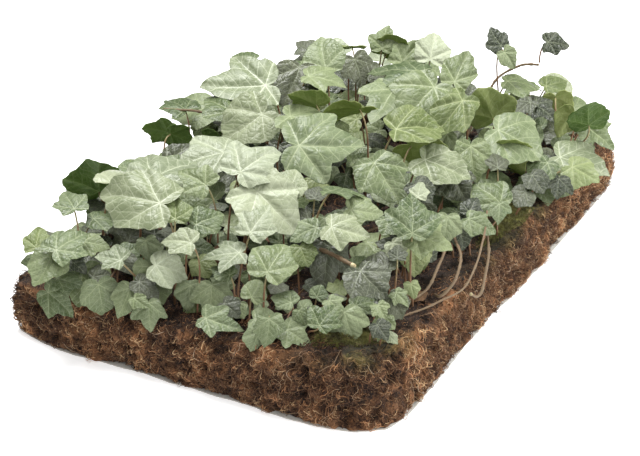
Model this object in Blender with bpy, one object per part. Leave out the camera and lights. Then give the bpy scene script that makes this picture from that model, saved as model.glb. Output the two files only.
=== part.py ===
"""Ivy mat: a floppy coir mat, rooted through, with ivy shoots growing out of its top.

Frame: +Z up, origin in the middle of the flat underside. X runs along the short front edge and Y
along the long edge, away from the front. Everything is in metres.

Places on the mat are given as (u, v): u is -1 at the left edge and +1 at the right one, v is -1 at
the front edge and +1 at the back one. Heights are above the mat's top surface at that place.
"""

import math

import bmesh
import bpy
import numpy as np
from mathutils import Vector
from mathutils.bvhtree import BVHTree

# ---- driving sizes -----------------------------------------------------------------------------
MAT_WIDTH = 0.400
MAT_LENGTH = 0.600
MAT_THICKNESS = 0.060
NEAR_CORNER_RISE = 0.008
FRONT_LEFT_DROP = 0.008
FAR_LEFT_RISE = 0.014
MAT_BUMP = 0.0025
MAT_EDGE_FALL = 0.006
MAT_EDGE_WAVE = 0.003
MAT_BULGE = 0.003
CORNER_PULL = 0.020
NEAR_CORNER_PULL = 0.065
FRONT_BOW = 0.012
FOOT_SPREAD = 0.003
NEAR_FOOT_SPREAD = 0.026

FLEECE_THICKNESS = 0.0012
FLEECE_SHOWS = 0.002

MOSS_THICKNESS = 0.0035
MOSS_CLEARANCE = 0.0012

BLADE_THICKNESS = 0.0010
BLADE_DROOP = 0.20
PETIOLE_RADIUS = 0.0011
RUNNER_RADIUS = 0.0020
STUB_RADIUS = 0.0030
THIN_STEM_RADIUS = 0.0014

GAP = 0.0003
FOOT_CLEARANCE = 0.0006
LEAF_CLEARANCE = 0.0003
VINE_CLEARANCE = 0.0020
ROOT_ZONE = 0.90

# A leaf with no room at its own height is planted up to this much higher or lower.
HEIGHT_NUDGES = [mm / 1000 for mm in (0, 3, -3, 6, -6, 9, 12, -9, 16, 20, 25, 30, 40, 50, 60, 75, 90)]
# A petiole roots at one of these distances from below its blade, turned this far from behind it.
FOOT_DISTANCES = (0.018, 0.008, 0.030, 0.045, 0.060)
FOOT_TURNS = (0, 30, -30, 60, -60, 95, -95, 140, -140, 180)

# The leaves turn their upper side towards the light, which comes from the front right.
LIGHT_AZIMUTH = math.radians(-62)

# ---- how finely the shapes are built -----------------------------------------------------------
MAT_CELLS = (16, 22)
WALL_LEVELS = (0.70, 0.35)
MOSS_SEGMENTS = 14
PETIOLE_SIDES = 5
PETIOLE_RINGS = 4
RUNNER_STEP = 0.012
VINE_THINNING = 2

# A blade's outline: the angle from the tip, in degrees, and the distance from the petiole as a
# share of the leaf's length. It is the same on both sides of the midrib.
LEAF_OUTLINE = (
    (0, 1.00), (15, 0.82), (32, 0.72), (54, 0.86), (82, 0.62), (112, 0.64), (142, 0.50), (168, 0.22),
)
INNER_RING = 0.55

# ---- what grows where --------------------------------------------------------------------------
# Each leaf: name, kind of green, (u, v) of the point where blade and petiole meet, its height and
# the leaf's length from there to the tip in mm, which way the tip points (degrees from +X,
# anticlockwise), and the lean of the blade from level towards the light (a blade past -60 stands
# upright and turns its underside to the light).
LEAVES = (
    ("leaf_front_1", "mid", (-0.69, -1.10), 18, 34, -20, 50),
    ("leaf_front_2", "pale", (-0.38, -0.99), 50, 27, -173, 20),
    ("leaf_front_3", "mid", (-0.47, -1.03), 25, 29, -55, 50),
    ("leaf_front_4", "mid", (-0.32, -1.00), 26, 30, -74, 50),
    ("leaf_front_5", "mid", (-0.20, -1.02), 19, 26, -61, 50),
    ("leaf_front_6", "mid", (0.02, -0.88), 28, 29, -63, 50),
    ("leaf_front_7", "mid", (0.13, -1.04), 22, 36, 0, 35),
    ("leaf_front_8", "mid", (0.44, -1.01), 26, 26, -61, 50),
    ("leaf_front_9", "mid", (0.66, -0.96), 20, 29, 94, 38),
    ("leaf_front_10", "mid", (0.34, -0.90), 55, 40, 96, 35),
    ("leaf_left_1", "young", (-0.81, -1.04), 55, 27, 116, 30),
    ("leaf_left_2", "mid", (-0.70, -1.06), 52, 34, -74, 35),
    ("leaf_left_3", "dark", (-0.99, -0.50), 35, 50, -62, -75),
    ("leaf_left_4", "pale", (-0.73, -0.68), 77, 46, 88, 0),
    ("leaf_left_5", "mid", (-0.81, -0.82), 65, 34, 142, 15),
    ("leaf_left_6", "dark", (-0.95, -0.09), 50, 30, -102, -72),
    ("leaf_centre_1", "pale", (-0.30, -0.83), 90, 63, -172, 30),
    ("leaf_centre_2", "mid", (-0.21, -0.65), 90, 34, 166, 40),
    ("leaf_centre_3", "pale", (-0.10, -0.55), 95, 50, 81, 35),
    ("leaf_centre_4", "mid", (0.02, -0.30), 95, 66, 24, 35),
    ("leaf_centre_5", "pale", (0.15, -0.78), 75, 38, 92, 35),
    ("leaf_centre_6", "pale", (0.00, -0.56), 80, 62, -27, 35),
    ("leaf_centre_7", "pale", (0.47, -0.64), 71, 38, 7, 28),
    ("leaf_centre_8", "mid", (0.35, -0.18), 77, 50, -38, 35),
    ("leaf_centre_9", "pale", (-0.39, -0.33), 80, 52, -135, 15),
    ("leaf_back_1", "pale", (-0.56, 0.16), 90, 68, -144, 30),
    ("leaf_back_2", "dark", (-0.53, 0.38), 85, 46, -72, 40),
    ("leaf_back_3", "mid", (-0.42, 0.45), 81, 40, 129, 45),
    ("leaf_back_4", "mid", (-0.29, 0.74), 80, 28, 114, 55),
    ("leaf_back_5", "pale", (-0.02, 0.79), 75, 34, 110, 50),
    ("leaf_back_6", "mid", (0.26, 0.60), 80, 44, 100, 40),
    ("leaf_back_7", "mid", (0.28, 0.39), 95, 56, -99, 30),
    ("leaf_back_8", "young", (0.37, -0.04), 98, 50, 45, 22),
    ("leaf_back_9", "young", (0.48, 0.34), 90, 58, -90, 40),
    ("leaf_back_10", "young", (0.57, 0.48), 57, 50, -67, -75),
    ("leaf_back_11", "mid", (-0.88, 0.42), 80, 26, 171, 15),
    ("leaf_right_1", "dark", (1.05, 0.60), 60, 40, -65, -75),
    ("leaf_right_2", "mid", (0.99, 0.69), 45, 38, -21, 30),
    ("leaf_right_3", "pale", (0.97, 0.47), 34, 54, 3, 20),
    ("leaf_right_4", "mid", (0.94, -0.02), 40, 36, 151, 40),
    ("leaf_right_5", "young", (1.08, 0.40), 37, 32, -9, 30),
    ("leaf_right_6", "mid", (0.82, -0.54), 65, 42, 115, 45),
    ("leaf_right_7", "pale", (0.54, -0.05), 75, 50, 0, 22),
    ("leaf_right_8", "dark", (0.70, -0.74), 45, 36, -32, 25),
)
# Leaves that stand on the bare shoot: as above, then the (u, v, mm) where the petiole starts.
SHOOT_LEAVES = (
    ("leaf_shoot_1", "dark", (0.45, 0.72), 114, 25, 140, 55, (0.42, 0.80, 89)),
    ("leaf_shoot_2", "dark", (0.66, 0.83), 114, 25, 28, 50, (0.62, 0.83, 89)),
)
# Bare woody stems in the air: name, radius, and the points they pass through, as (u, v, mm above
# the mat).
STEMS = (
    ("runner_right_1", RUNNER_RADIUS,
     ((0.86, -0.64, 4), (0.90, -0.54, 9), (0.86, -0.36, 20), (0.78, -0.18, 34))),
    ("runner_right_2", RUNNER_RADIUS,
     ((0.84, -0.24, 26), (0.95, -0.36, 24), (1.00, -0.48, 16), (0.98, -0.56, 8), (0.94, -0.54, 5))),
    ("runner_right_3", RUNNER_RADIUS,
     ((0.90, -0.10, 34), (1.03, -0.26, 22), (1.09, -0.41, 2), (1.09, -0.46, -4), (1.08, -0.50, 3))),
    ("runner_right_4", THIN_STEM_RADIUS,
     ((0.90, -0.72, 4), (1.00, -0.62, 10), (1.06, -0.50, 14), (1.02, -0.30, 32), (0.94, -0.13, 44))),
    ("cut_stub", STUB_RADIUS,
     ((0.22, -0.46, 5), (0.31, -0.56, 30), (0.42, -0.63, 47), (0.64, -0.68, 42))),
    ("runner_left", RUNNER_RADIUS,
     ((-1.08, 0.02, 60), (-0.88, 0.05, 60), (-0.67, 0.06, 56), (-0.46, 0.08, 34), (-0.30, 0.12, 5))),
    ("shoot_stem", RUNNER_RADIUS,
     ((0.34, 0.52, 4), (0.36, 0.64, 30), (0.40, 0.76, 66), (0.50, 0.82, 82), (0.62, 0.83, 86))),
)
# Vines that creep over the mat: name, and the places they pass.
VINES = (
    ("vine_1",
     ((-0.78, -0.72), (-0.58, -0.50), (-0.62, -0.16), (-0.38, 0.14), (-0.52, 0.50), (-0.36, 0.82))),
    ("vine_2",
     ((0.52, -0.84), (0.60, -0.56), (0.34, -0.24), (0.56, 0.10), (0.44, 0.36), (0.66, 0.70))),
)
# Moss cushions: name, (u, v) of the middle, half length along X and along Y in metres.
MOSS = (
    ("moss_near_corner", (0.74, -0.86), 0.034, 0.026),
    ("moss_right_edge", (0.90, 0.12), 0.014, 0.060),
)

BROWN = (0.105, 0.052, 0.028)
FLEECE_GREY = (0.55, 0.54, 0.50)
MOSS_OLIVE = (0.075, 0.075, 0.022)
BARK = (0.150, 0.090, 0.040)
LEAF_GREENS = {
    "pale": (0.52, 0.58, 0.43),
    "mid": (0.29, 0.33, 0.22),
    "dark": (0.07, 0.11, 0.04),
    "young": (0.23, 0.32, 0.06),
}


def clear_scene():
    for obj in list(bpy.data.objects):
        bpy.data.objects.remove(obj, do_unlink=True)


def material(name, colour, roughness):
    made = bpy.data.materials.new(name)
    made.use_nodes = True
    shader = made.node_tree.nodes["Principled BSDF"]
    shader.inputs["Base Color"].default_value = (*colour, 1.0)
    shader.inputs["Roughness"].default_value = roughness
    shader.inputs["Metallic"].default_value = 0.0
    return made


def add_object(name, data, colour, roughness):
    data.materials.append(material(name, colour, roughness))
    obj = bpy.data.objects.new(name, data)
    bpy.context.scene.collection.objects.link(obj)
    return obj


def mesh_from(bm, name):
    bmesh.ops.recalc_face_normals(bm, faces=bm.faces[:])
    mesh = bpy.data.meshes.new(name)
    bm.to_mesh(mesh)
    bm.free()
    return mesh


def within(value, limit):
    return min(limit, max(-limit, value))


# ---- the mat -----------------------------------------------------------------------------------
def nearness(u, v):
    """1 at the near corner, the right end of the front edge, and falling away quickly from it."""
    return max(0.0, (u - v) / 2) ** 4


def plan_xy(u, v):
    """The place (u, v) in metres: a rectangle whose corners are pulled in, the near one most, and
    whose front edge bows out in its middle."""
    pull = CORNER_PULL + NEAR_CORNER_PULL * nearness(u, v)
    x = 0.5 * MAT_WIDTH * u * (1 - pull * v**6)
    y = 0.5 * MAT_LENGTH * v * (1 - pull * u**6)
    return x, y - FRONT_BOW * ((1 - v) / 2) ** 3 * (1 - u**4)


def mat_top(u, v):
    """Height of the mat's top: level, lifted or dropped at three corners, bumpy, falling at the rim."""
    u, v = within(u, 1.0), within(v, 1.0)
    right, left, back, front = (1 + u) / 2, (1 - u) / 2, (1 + v) / 2, (1 - v) / 2
    corners = NEAR_CORNER_RISE * right * front - FRONT_LEFT_DROP * left * front**2
    corners += FAR_LEFT_RISE * (left * back) ** 4
    bumps = math.sin(5.1 * u + 1.3) * math.cos(4.3 * v + 0.4) + 0.5 * math.sin(6 * u - 5 * v)
    return MAT_THICKNESS + corners + MAT_BUMP * bumps - MAT_EDGE_FALL * (u**8 + v**8) / 2


def on_mat(u, v, height=0.0):
    return Vector((*plan_xy(u, v), mat_top(u, v) + height))


def rim_places():
    """(u, v) of the grid points along the mat's rim, once round."""
    across = np.linspace(-1, 1, MAT_CELLS[0] + 1)
    along = np.linspace(-1, 1, MAT_CELLS[1] + 1)
    front = [(u, -1.0) for u in across[:-1]]
    right = [(1.0, v) for v in along[:-1]]
    back = [(u, 1.0) for u in across[:0:-1]]
    left = [(-1.0, v) for v in along[:0:-1]]
    return front + right + back + left


def rim_point(u, v, z, outwards):
    """A point outside or inside the rim place (u, v) by the given amount, plus the rim's own waves."""
    x, y = plan_xy(u, v)
    way = Vector((u**9, v**9, 0)).normalized()
    turn = math.atan2(v, u)
    wave = math.sin(5 * turn + 0.7) + 0.6 * math.sin(11 * turn + 60 * z) + 0.4 * math.sin(23 * turn + 2)
    return Vector((x, y, z)) + way * (outwards + 0.5 * MAT_EDGE_WAVE * wave)


def foot_spread(u, v):
    """How far the mat's foot spreads beyond its top: the near corner sags out most."""
    return FOOT_SPREAD + NEAR_FOOT_SPREAD * nearness(u, v) ** 2


def build_mat():
    """The slab: a bumpy top, walls that bulge and spread towards their foot, and a flat underside."""
    bottom_z = FLEECE_THICKNESS + GAP
    bm = bmesh.new()
    rim = rim_places()
    top_rim = {place: bm.verts.new(rim_point(*place, mat_top(*place), 0)) for place in rim}
    grid = []
    for v in np.linspace(-1, 1, MAT_CELLS[1] + 1):
        grid.append([top_rim.get((u, v)) or bm.verts.new(on_mat(u, v))
                     for u in np.linspace(-1, 1, MAT_CELLS[0] + 1)])
    for low, high in zip(grid, grid[1:]):
        for i in range(MAT_CELLS[0]):
            bm.faces.new((low[i], low[i + 1], high[i + 1], high[i]))
    upper = [top_rim[place] for place in rim]
    for share, outwards in [(level, MAT_BULGE) for level in WALL_LEVELS] + [(0.0, 0.0)]:
        lower = [bm.verts.new(rim_point(*place, bottom_z + share * (mat_top(*place) - bottom_z),
                                        outwards + (1 - share) * foot_spread(*place)))
                 for place in rim]
        for i in range(len(rim)):
            j = (i + 1) % len(rim)
            bm.faces.new((lower[i], lower[j], upper[j], upper[i]))
        upper = lower
    bm.faces.new(upper)
    return add_object("root_mat", mesh_from(bm, "root_mat"), BROWN, 0.95)


def build_fleece():
    """A thin flat sheet under the mat, which shows a little past its lower edge."""
    bm = bmesh.new()
    rings = [[bm.verts.new(rim_point(*place, z, FLEECE_SHOWS + foot_spread(*place)))
              for place in rim_places()] for z in (0.0, FLEECE_THICKNESS)]
    for low, high in zip(*rings):
        high.co.x, high.co.y = low.co.x, low.co.y
    count = len(rings[0])
    for i in range(count):
        j = (i + 1) % count
        bm.faces.new((rings[0][i], rings[0][j], rings[1][j], rings[1][i]))
    for ring in rings:
        bm.faces.new(ring)
    return add_object("backing_fleece", mesh_from(bm, "backing_fleece"), FLEECE_GREY, 0.9)


def build_moss(name, middle, half_x, half_y):
    """A low cushion on the mat: two rings round a middle point, its underside a little above the mat."""
    rings = []
    for share, rise in ((1.0, 0.35), (0.55, 0.9)):
        ring = []
        for i in range(MOSS_SEGMENTS):
            turn = math.tau * i / MOSS_SEGMENTS
            reach = share * (1 + 0.12 * math.sin(3 * turn + 1) + 0.08 * math.sin(5 * turn))
            u = middle[0] + reach * half_x * math.cos(turn) / (0.5 * MAT_WIDTH)
            v = middle[1] + reach * half_y * math.sin(turn) / (0.5 * MAT_LENGTH)
            ring.append((u, v, rise))
        rings.append(ring)
    bm = bmesh.new()

    def level(thickness):
        return [[bm.verts.new(on_mat(u, v, MOSS_CLEARANCE + thickness * rise)) for u, v, rise in ring]
                for ring in rings] + [bm.verts.new(on_mat(*middle, MOSS_CLEARANCE + thickness))]

    for outer, inner, centre in (level(MOSS_THICKNESS), level(0.0)):
        for i in range(MOSS_SEGMENTS):
            j = (i + 1) % MOSS_SEGMENTS
            bm.faces.new((outer[i], outer[j], inner[j], inner[i]))
            bm.faces.new((inner[i], inner[j], centre))
    bm.verts.ensure_lookup_table()
    half = len(bm.verts) // 2
    for i in range(MOSS_SEGMENTS):
        j = (i + 1) % MOSS_SEGMENTS
        bm.faces.new((bm.verts[i], bm.verts[j], bm.verts[half + j], bm.verts[half + i]))
    return add_object(name, mesh_from(bm, name), MOSS_OLIVE, 0.95)


# ---- stems -------------------------------------------------------------------------------------
def smooth_route(points):
    """Points about RUNNER_STEP apart on a Catmull-Rom curve through the given ones."""
    ends = [2 * points[0] - points[1], *points, 2 * points[-1] - points[-2]]
    route = []
    for a, b, c, d in zip(ends, ends[1:], ends[2:], ends[3:]):
        steps = max(2, math.ceil((c - b).length / RUNNER_STEP))
        for i in range(steps):
            t = i / steps
            route.append(0.5 * (2 * b + (c - a) * t + (2 * a - 5 * b + 4 * c - d) * t**2
                                + (3 * b - a - 3 * c + d) * t**3))
    return [*route, points[-1]]


def build_tube(name, radius, route):
    curve = bpy.data.curves.new(name, "CURVE")
    curve.dimensions = "3D"
    curve.bevel_depth = radius
    curve.bevel_resolution = 1
    curve.use_fill_caps = True
    spline = curve.splines.new("POLY")
    spline.points.add(len(route) - 1)
    for point, place in zip(spline.points, route):
        point.co = (*place, 1.0)
    return add_object(name, curve, BARK, 0.75)


def build_stem(name, radius, places):
    return build_tube(name, radius, smooth_route([on_mat(u, v, mm / 1000) for u, v, mm in places]))


def build_vine(name, places):
    """A vine's route is smoothed in the plan first, and then laid on the bumpy mat."""
    route = smooth_route([Vector((u * MAT_WIDTH / 2, v * MAT_LENGTH / 2, 0)) for u, v in places])
    height = RUNNER_RADIUS + VINE_CLEARANCE
    laid = [on_mat(2 * p.x / MAT_WIDTH, 2 * p.y / MAT_LENGTH, height) for p in route[::VINE_THINNING]]
    return build_tube(name, RUNNER_RADIUS, laid)


# ---- leaves ------------------------------------------------------------------------------------
def blade_axes(heading, lean):
    """Unit vectors along the midrib, to its right, and out of the upper side."""
    heading, lean = math.radians(heading), math.radians(lean)
    light = Vector((math.cos(LIGHT_AZIMUTH), math.sin(LIGHT_AZIMUTH), 0))
    normal = Vector((0, 0, math.cos(lean))) + light * math.sin(lean)
    level = Vector((math.cos(heading), math.sin(heading), 0))
    along = (level - normal * level.dot(normal)).normalized()
    return along, along.cross(normal), normal


def blade_points(junction, length, axes, share):
    """The outline shrunk to a share of itself. A point sinks with the square of its distance."""
    along, aside, normal = axes
    right = [(math.radians(a), r) for a, r in LEAF_OUTLINE]
    left = [(-a, r) for a, r in right[:0:-1]]
    points = []
    for angle, reach in right + left:
        reach *= share
        points.append(junction + length * (reach * math.cos(angle) * along + reach * math.sin(angle) * aside
                                           - BLADE_DROOP * reach**2 * normal))
    return points


def petiole_path(junction, foot, axes):
    """A cubic curve that leaves the blade downwards and backwards, and ends upright at the foot."""
    along, _, normal = axes
    reach = 0.35 * (junction - foot).length
    leave = (-0.8 * normal - 0.6 * along).normalized()
    a, b, c, d = junction, junction + leave * reach, foot + Vector((0, 0, reach)), foot
    path = []
    for i in range(1, PETIOLE_RINGS + 1):
        t = i / PETIOLE_RINGS
        place = (1 - t) ** 3 * a + 3 * (1 - t) ** 2 * t * b + 3 * (1 - t) * t**2 * c + t**3 * d
        tangent = (1 - t) ** 2 * (b - a) + 2 * (1 - t) * t * (c - b) + t**2 * (d - c)
        path.append((place, tangent.normalized()))
    return path


def leaf_skin(junction, length, axes, foot, grow=0.0):
    """Points and faces of one leaf, blade and petiole in one closed skin.

    The upper side is a fan inside a band. The lower side is the same, with the petiole's ring in
    place of the fan's middle. grow makes a fatter copy, for measuring clearance.
    """
    along, aside, normal = axes
    count = 2 * len(LEAF_OUTLINE) - 1
    sides = PETIOLE_SIDES
    per_side = count // sides
    lift = normal * grow
    sink = normal * (BLADE_THICKNESS + grow)
    rims = [blade_points(junction, length + 2 * grow, axes, share) for share in (1.0, INNER_RING)]
    points = [p + lift for rim in rims for p in rim] + [junction + lift]
    lower = len(points)
    points += [p - sink for rim in rims for p in rim]
    faces = []
    for i in range(count):
        j = (i + 1) % count
        faces.append((i, j, count + j, count + i))
        faces.append((count + i, count + j, 2 * count))
        faces.append((lower + j, lower + i, lower + count + i, lower + count + j))
        faces.append((j, i, lower + i, lower + j))
    radius = PETIOLE_RADIUS + grow
    ring = len(points)
    middle = (per_side - 1) / 2
    turns = [math.tau * (i * per_side + middle) / count for i in range(sides)]
    points += [junction - sink + radius * (math.cos(a) * along + math.sin(a) * aside) for a in turns]
    for i in range(count):
        j = (i + 1) % count
        faces.append((lower + count + j, lower + count + i, ring + i // per_side))
        if j % per_side == 0:
            faces.append((ring + i // per_side, ring + (i // per_side + 1) % sides, lower + count + j))
    across = along
    for place, tangent in petiole_path(junction - sink, foot, axes):
        across = (across - tangent * across.dot(tangent)).normalized()
        other = across.cross(tangent) * (1 if aside.dot(across.cross(tangent)) > 0 else -1)
        start = len(points)
        points += [place + radius * (math.cos(a) * across + math.sin(a) * other) for a in turns]
        for i in range(sides):
            j = (i + 1) % sides
            faces.append((ring + i, ring + j, start + j, start + i))
        ring = start
    faces.append(tuple(range(ring, ring + sides)))
    return points, faces


def foot_places(u, v, heading):
    """Places on the mat where a petiole can root, the ones behind and near the leaf first."""
    back = math.radians(heading + 180)
    for distance in FOOT_DISTANCES:
        for turn in FOOT_TURNS:
            way = back + math.radians(turn)
            foot_u = u + distance * math.cos(way) / (0.5 * MAT_WIDTH)
            foot_v = v + distance * math.sin(way) / (0.5 * MAT_LENGTH)
            yield within(foot_u, ROOT_ZONE), within(foot_v, ROOT_ZONE)


def mesh_data(obj):
    """World points and faces of an object as it is built."""
    bpy.context.view_layer.update()
    graph = bpy.context.evaluated_depsgraph_get()
    evaluated = obj.evaluated_get(graph)
    mesh = evaluated.to_mesh()
    points = [obj.matrix_world @ vertex.co for vertex in mesh.vertices]
    faces = [tuple(face.vertices) for face in mesh.polygons]
    evaluated.to_mesh_clear()
    return points, faces


class Planted:
    """Everything that stands already, so that the next leaf finds a free way up."""

    def __init__(self, objects):
        self.points, self.faces = [], []
        for obj in objects:
            self.add(*mesh_data(obj))

    def add(self, points, faces):
        start = len(self.points)
        self.points += points
        self.faces += [tuple(start + i for i in face) for face in faces]
        self.tree = BVHTree.FromPolygons(self.points, self.faces)

    def is_free(self, points, faces):
        return not self.tree.overlap(BVHTree.FromPolygons(points, faces))


def ground(mat_tree, u, v):
    """The point on the built mat's top at (u, v)."""
    x, y = plan_xy(u, v)
    return mat_tree.ray_cast(Vector((x, y, 1)), Vector((0, 0, -1)))[0]


def leaf_object(name, kind, points, faces):
    bm = bmesh.new()
    verts = [bm.verts.new(point) for point in points]
    for face in faces:
        bm.faces.new([verts[i] for i in face])
    return add_object(name, mesh_from(bm, name), LEAF_GREENS[kind], 0.5)


def build_leaf(planted, mat_tree, name, kind, place, height, length, heading, lean, start=None):
    """Plants one leaf at its place, or as little above or below it as leaves it room."""
    u, v = place
    axes = blade_axes(heading, lean)
    if start:
        feet = [on_mat(start[0], start[1], start[2] / 1000)]
    else:
        above = Vector((0, 0, FOOT_CLEARANCE))
        feet = [ground(mat_tree, *foot) + above for foot in foot_places(u, v, heading)]
    for nudge in HEIGHT_NUDGES:
        surface = mat_top(u, v) + height / 1000
        junction = Vector((u * MAT_WIDTH / 2, v * MAT_LENGTH / 2, surface + nudge))
        for foot in feet:
            fat = leaf_skin(junction, length / 1000, axes, foot, LEAF_CLEARANCE)
            if planted.is_free(*fat):
                skin = leaf_skin(junction, length / 1000, axes, foot)
                planted.add(*skin)
                return leaf_object(name, kind, *skin)
    raise RuntimeError(f"no room for {name}")


def main():
    clear_scene()
    mat = build_mat()
    build_fleece()
    standing = [mat]
    standing += [build_moss(*cushion) for cushion in MOSS]
    standing += [build_stem(*stem) for stem in STEMS]
    standing += [build_vine(*vine) for vine in VINES]
    planted = Planted(standing)
    mat_tree = BVHTree.FromPolygons(*mesh_data(mat))
    for row in SHOOT_LEAVES + LEAVES:
        build_leaf(planted, mat_tree, *row)


main()
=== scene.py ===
"""The looks of a pre-grown ivy mat: a hairy coir mat, rooted through, and the ivy that grows out of it.

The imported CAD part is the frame. Its leaves, stems, moss, mat and backing sheet are shown by
detailed pieces in the same places, and more leaves, roots and soil fill in between them.

Everything is in metres in the CAD's own frame: X runs along the short front edge, Y along the long
edge away from the front, Z is up, and the origin is in the middle of the flat underside. Places on
the mat are (u, v): u is -1 at the left edge and +1 at the right one, v is -1 at the front edge and
+1 at the back one. Heights of plants are above the mat's top surface.
"""

import math

import bpy
import numpy as np
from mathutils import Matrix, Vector
from mathutils.bvhtree import BVHTree


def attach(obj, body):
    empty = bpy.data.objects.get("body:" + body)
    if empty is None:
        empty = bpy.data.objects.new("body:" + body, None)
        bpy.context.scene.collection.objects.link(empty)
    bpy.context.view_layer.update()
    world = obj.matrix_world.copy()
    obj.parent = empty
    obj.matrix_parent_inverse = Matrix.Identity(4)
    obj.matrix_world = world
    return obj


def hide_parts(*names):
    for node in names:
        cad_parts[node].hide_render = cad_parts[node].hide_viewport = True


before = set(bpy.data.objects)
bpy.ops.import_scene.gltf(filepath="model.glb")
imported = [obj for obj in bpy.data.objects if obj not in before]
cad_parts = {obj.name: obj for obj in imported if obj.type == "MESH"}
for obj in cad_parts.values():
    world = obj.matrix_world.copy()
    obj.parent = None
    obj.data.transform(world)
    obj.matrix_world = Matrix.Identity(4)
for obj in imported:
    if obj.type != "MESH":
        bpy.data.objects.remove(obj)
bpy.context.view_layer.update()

# ---- sizes shared with the CAD part ------------------------------------------------------------
MAT_WIDTH = 0.400
MAT_LENGTH = 0.600
MAT_THICKNESS = 0.060
NEAR_CORNER_RISE = 0.008
FRONT_LEFT_DROP = 0.008
FAR_LEFT_RISE = 0.014
MAT_BUMP = 0.0025
MAT_EDGE_FALL = 0.006
MAT_EDGE_WAVE = 0.003
MAT_BULGE = 0.003
CORNER_PULL = 0.020
NEAR_CORNER_PULL = 0.065
FRONT_BOW = 0.012
FOOT_SPREAD = 0.003
NEAR_FOOT_SPREAD = 0.026
FLEECE_THICKNESS = 0.0012
FLEECE_SHOWS = 0.002
MAT_UNDERSIDE = 0.0015
RUNNER_RADIUS = 0.0020
STUB_RADIUS = 0.0030
THIN_STEM_RADIUS = 0.0014
VINE_HEIGHT = 0.0040
BLADE_DROOP = 0.20
LIGHT_AZIMUTH = math.radians(-62)

# ---- sizes of the looks ------------------------------------------------------------------------
MAT_GRID = (190, 285)  # quads across and along the mat's top
WALL_ROWS = 36
WALL_RELIEF = 0.0044
TOP_RELIEF = 0.0044
CORNER_CURL = 0.010
BLADE_THICKNESS = 0.00045
PETIOLE_RADIUS = 0.00100
PETIOLE_POINTS = 12
BARE_STEM = 0.74  # thins the CAD part's stem, so that its joints have room to swell
STEM_SIDES = 10
LEAF_MAP_SCALE = 0.42  # how much of its map a leaf's length takes up
NOTCH_REACH = 0.06  # the margin's distance behind the petiole, as a share of the leaf's length
# A leaf's lobes and main veins: the shoulders and basal lobes by their degrees from the tip, and
# the bays between the lobes.
SHOULDER_TURN, BASAL_TURN = 54, 112
BAY_TURNS = (32, 84)
# Rings and spokes of a blade: the CAD part's leaves, those between them, the lower storey, dead ones.
LARGE_BLADE, SMALL_BLADE, LOWER_BLADE, DEAD_BLADE = (12, 84), (10, 64), (4, 26), (6, 36)
DEAD_LEAVES = 26
# The lower storey: places tried all over the mat, then in its back quarter, and leaves at most.
PLACES_TRIED, BACK_PLACES_TRIED, LOWER_LEAVES = 3600, 1400, 380
CANOPY_GAP = 0.032  # a place this far from every other leaf gets one as high as its neighbours
MAY_STAND_BEFORE = 0.34  # the share of a lower leaf that may stand in front of other blades
SOIL_CRUMBS, WALL_CRUMBS = 4200, 6000
MOSS_TUFTS = 1500

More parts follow.
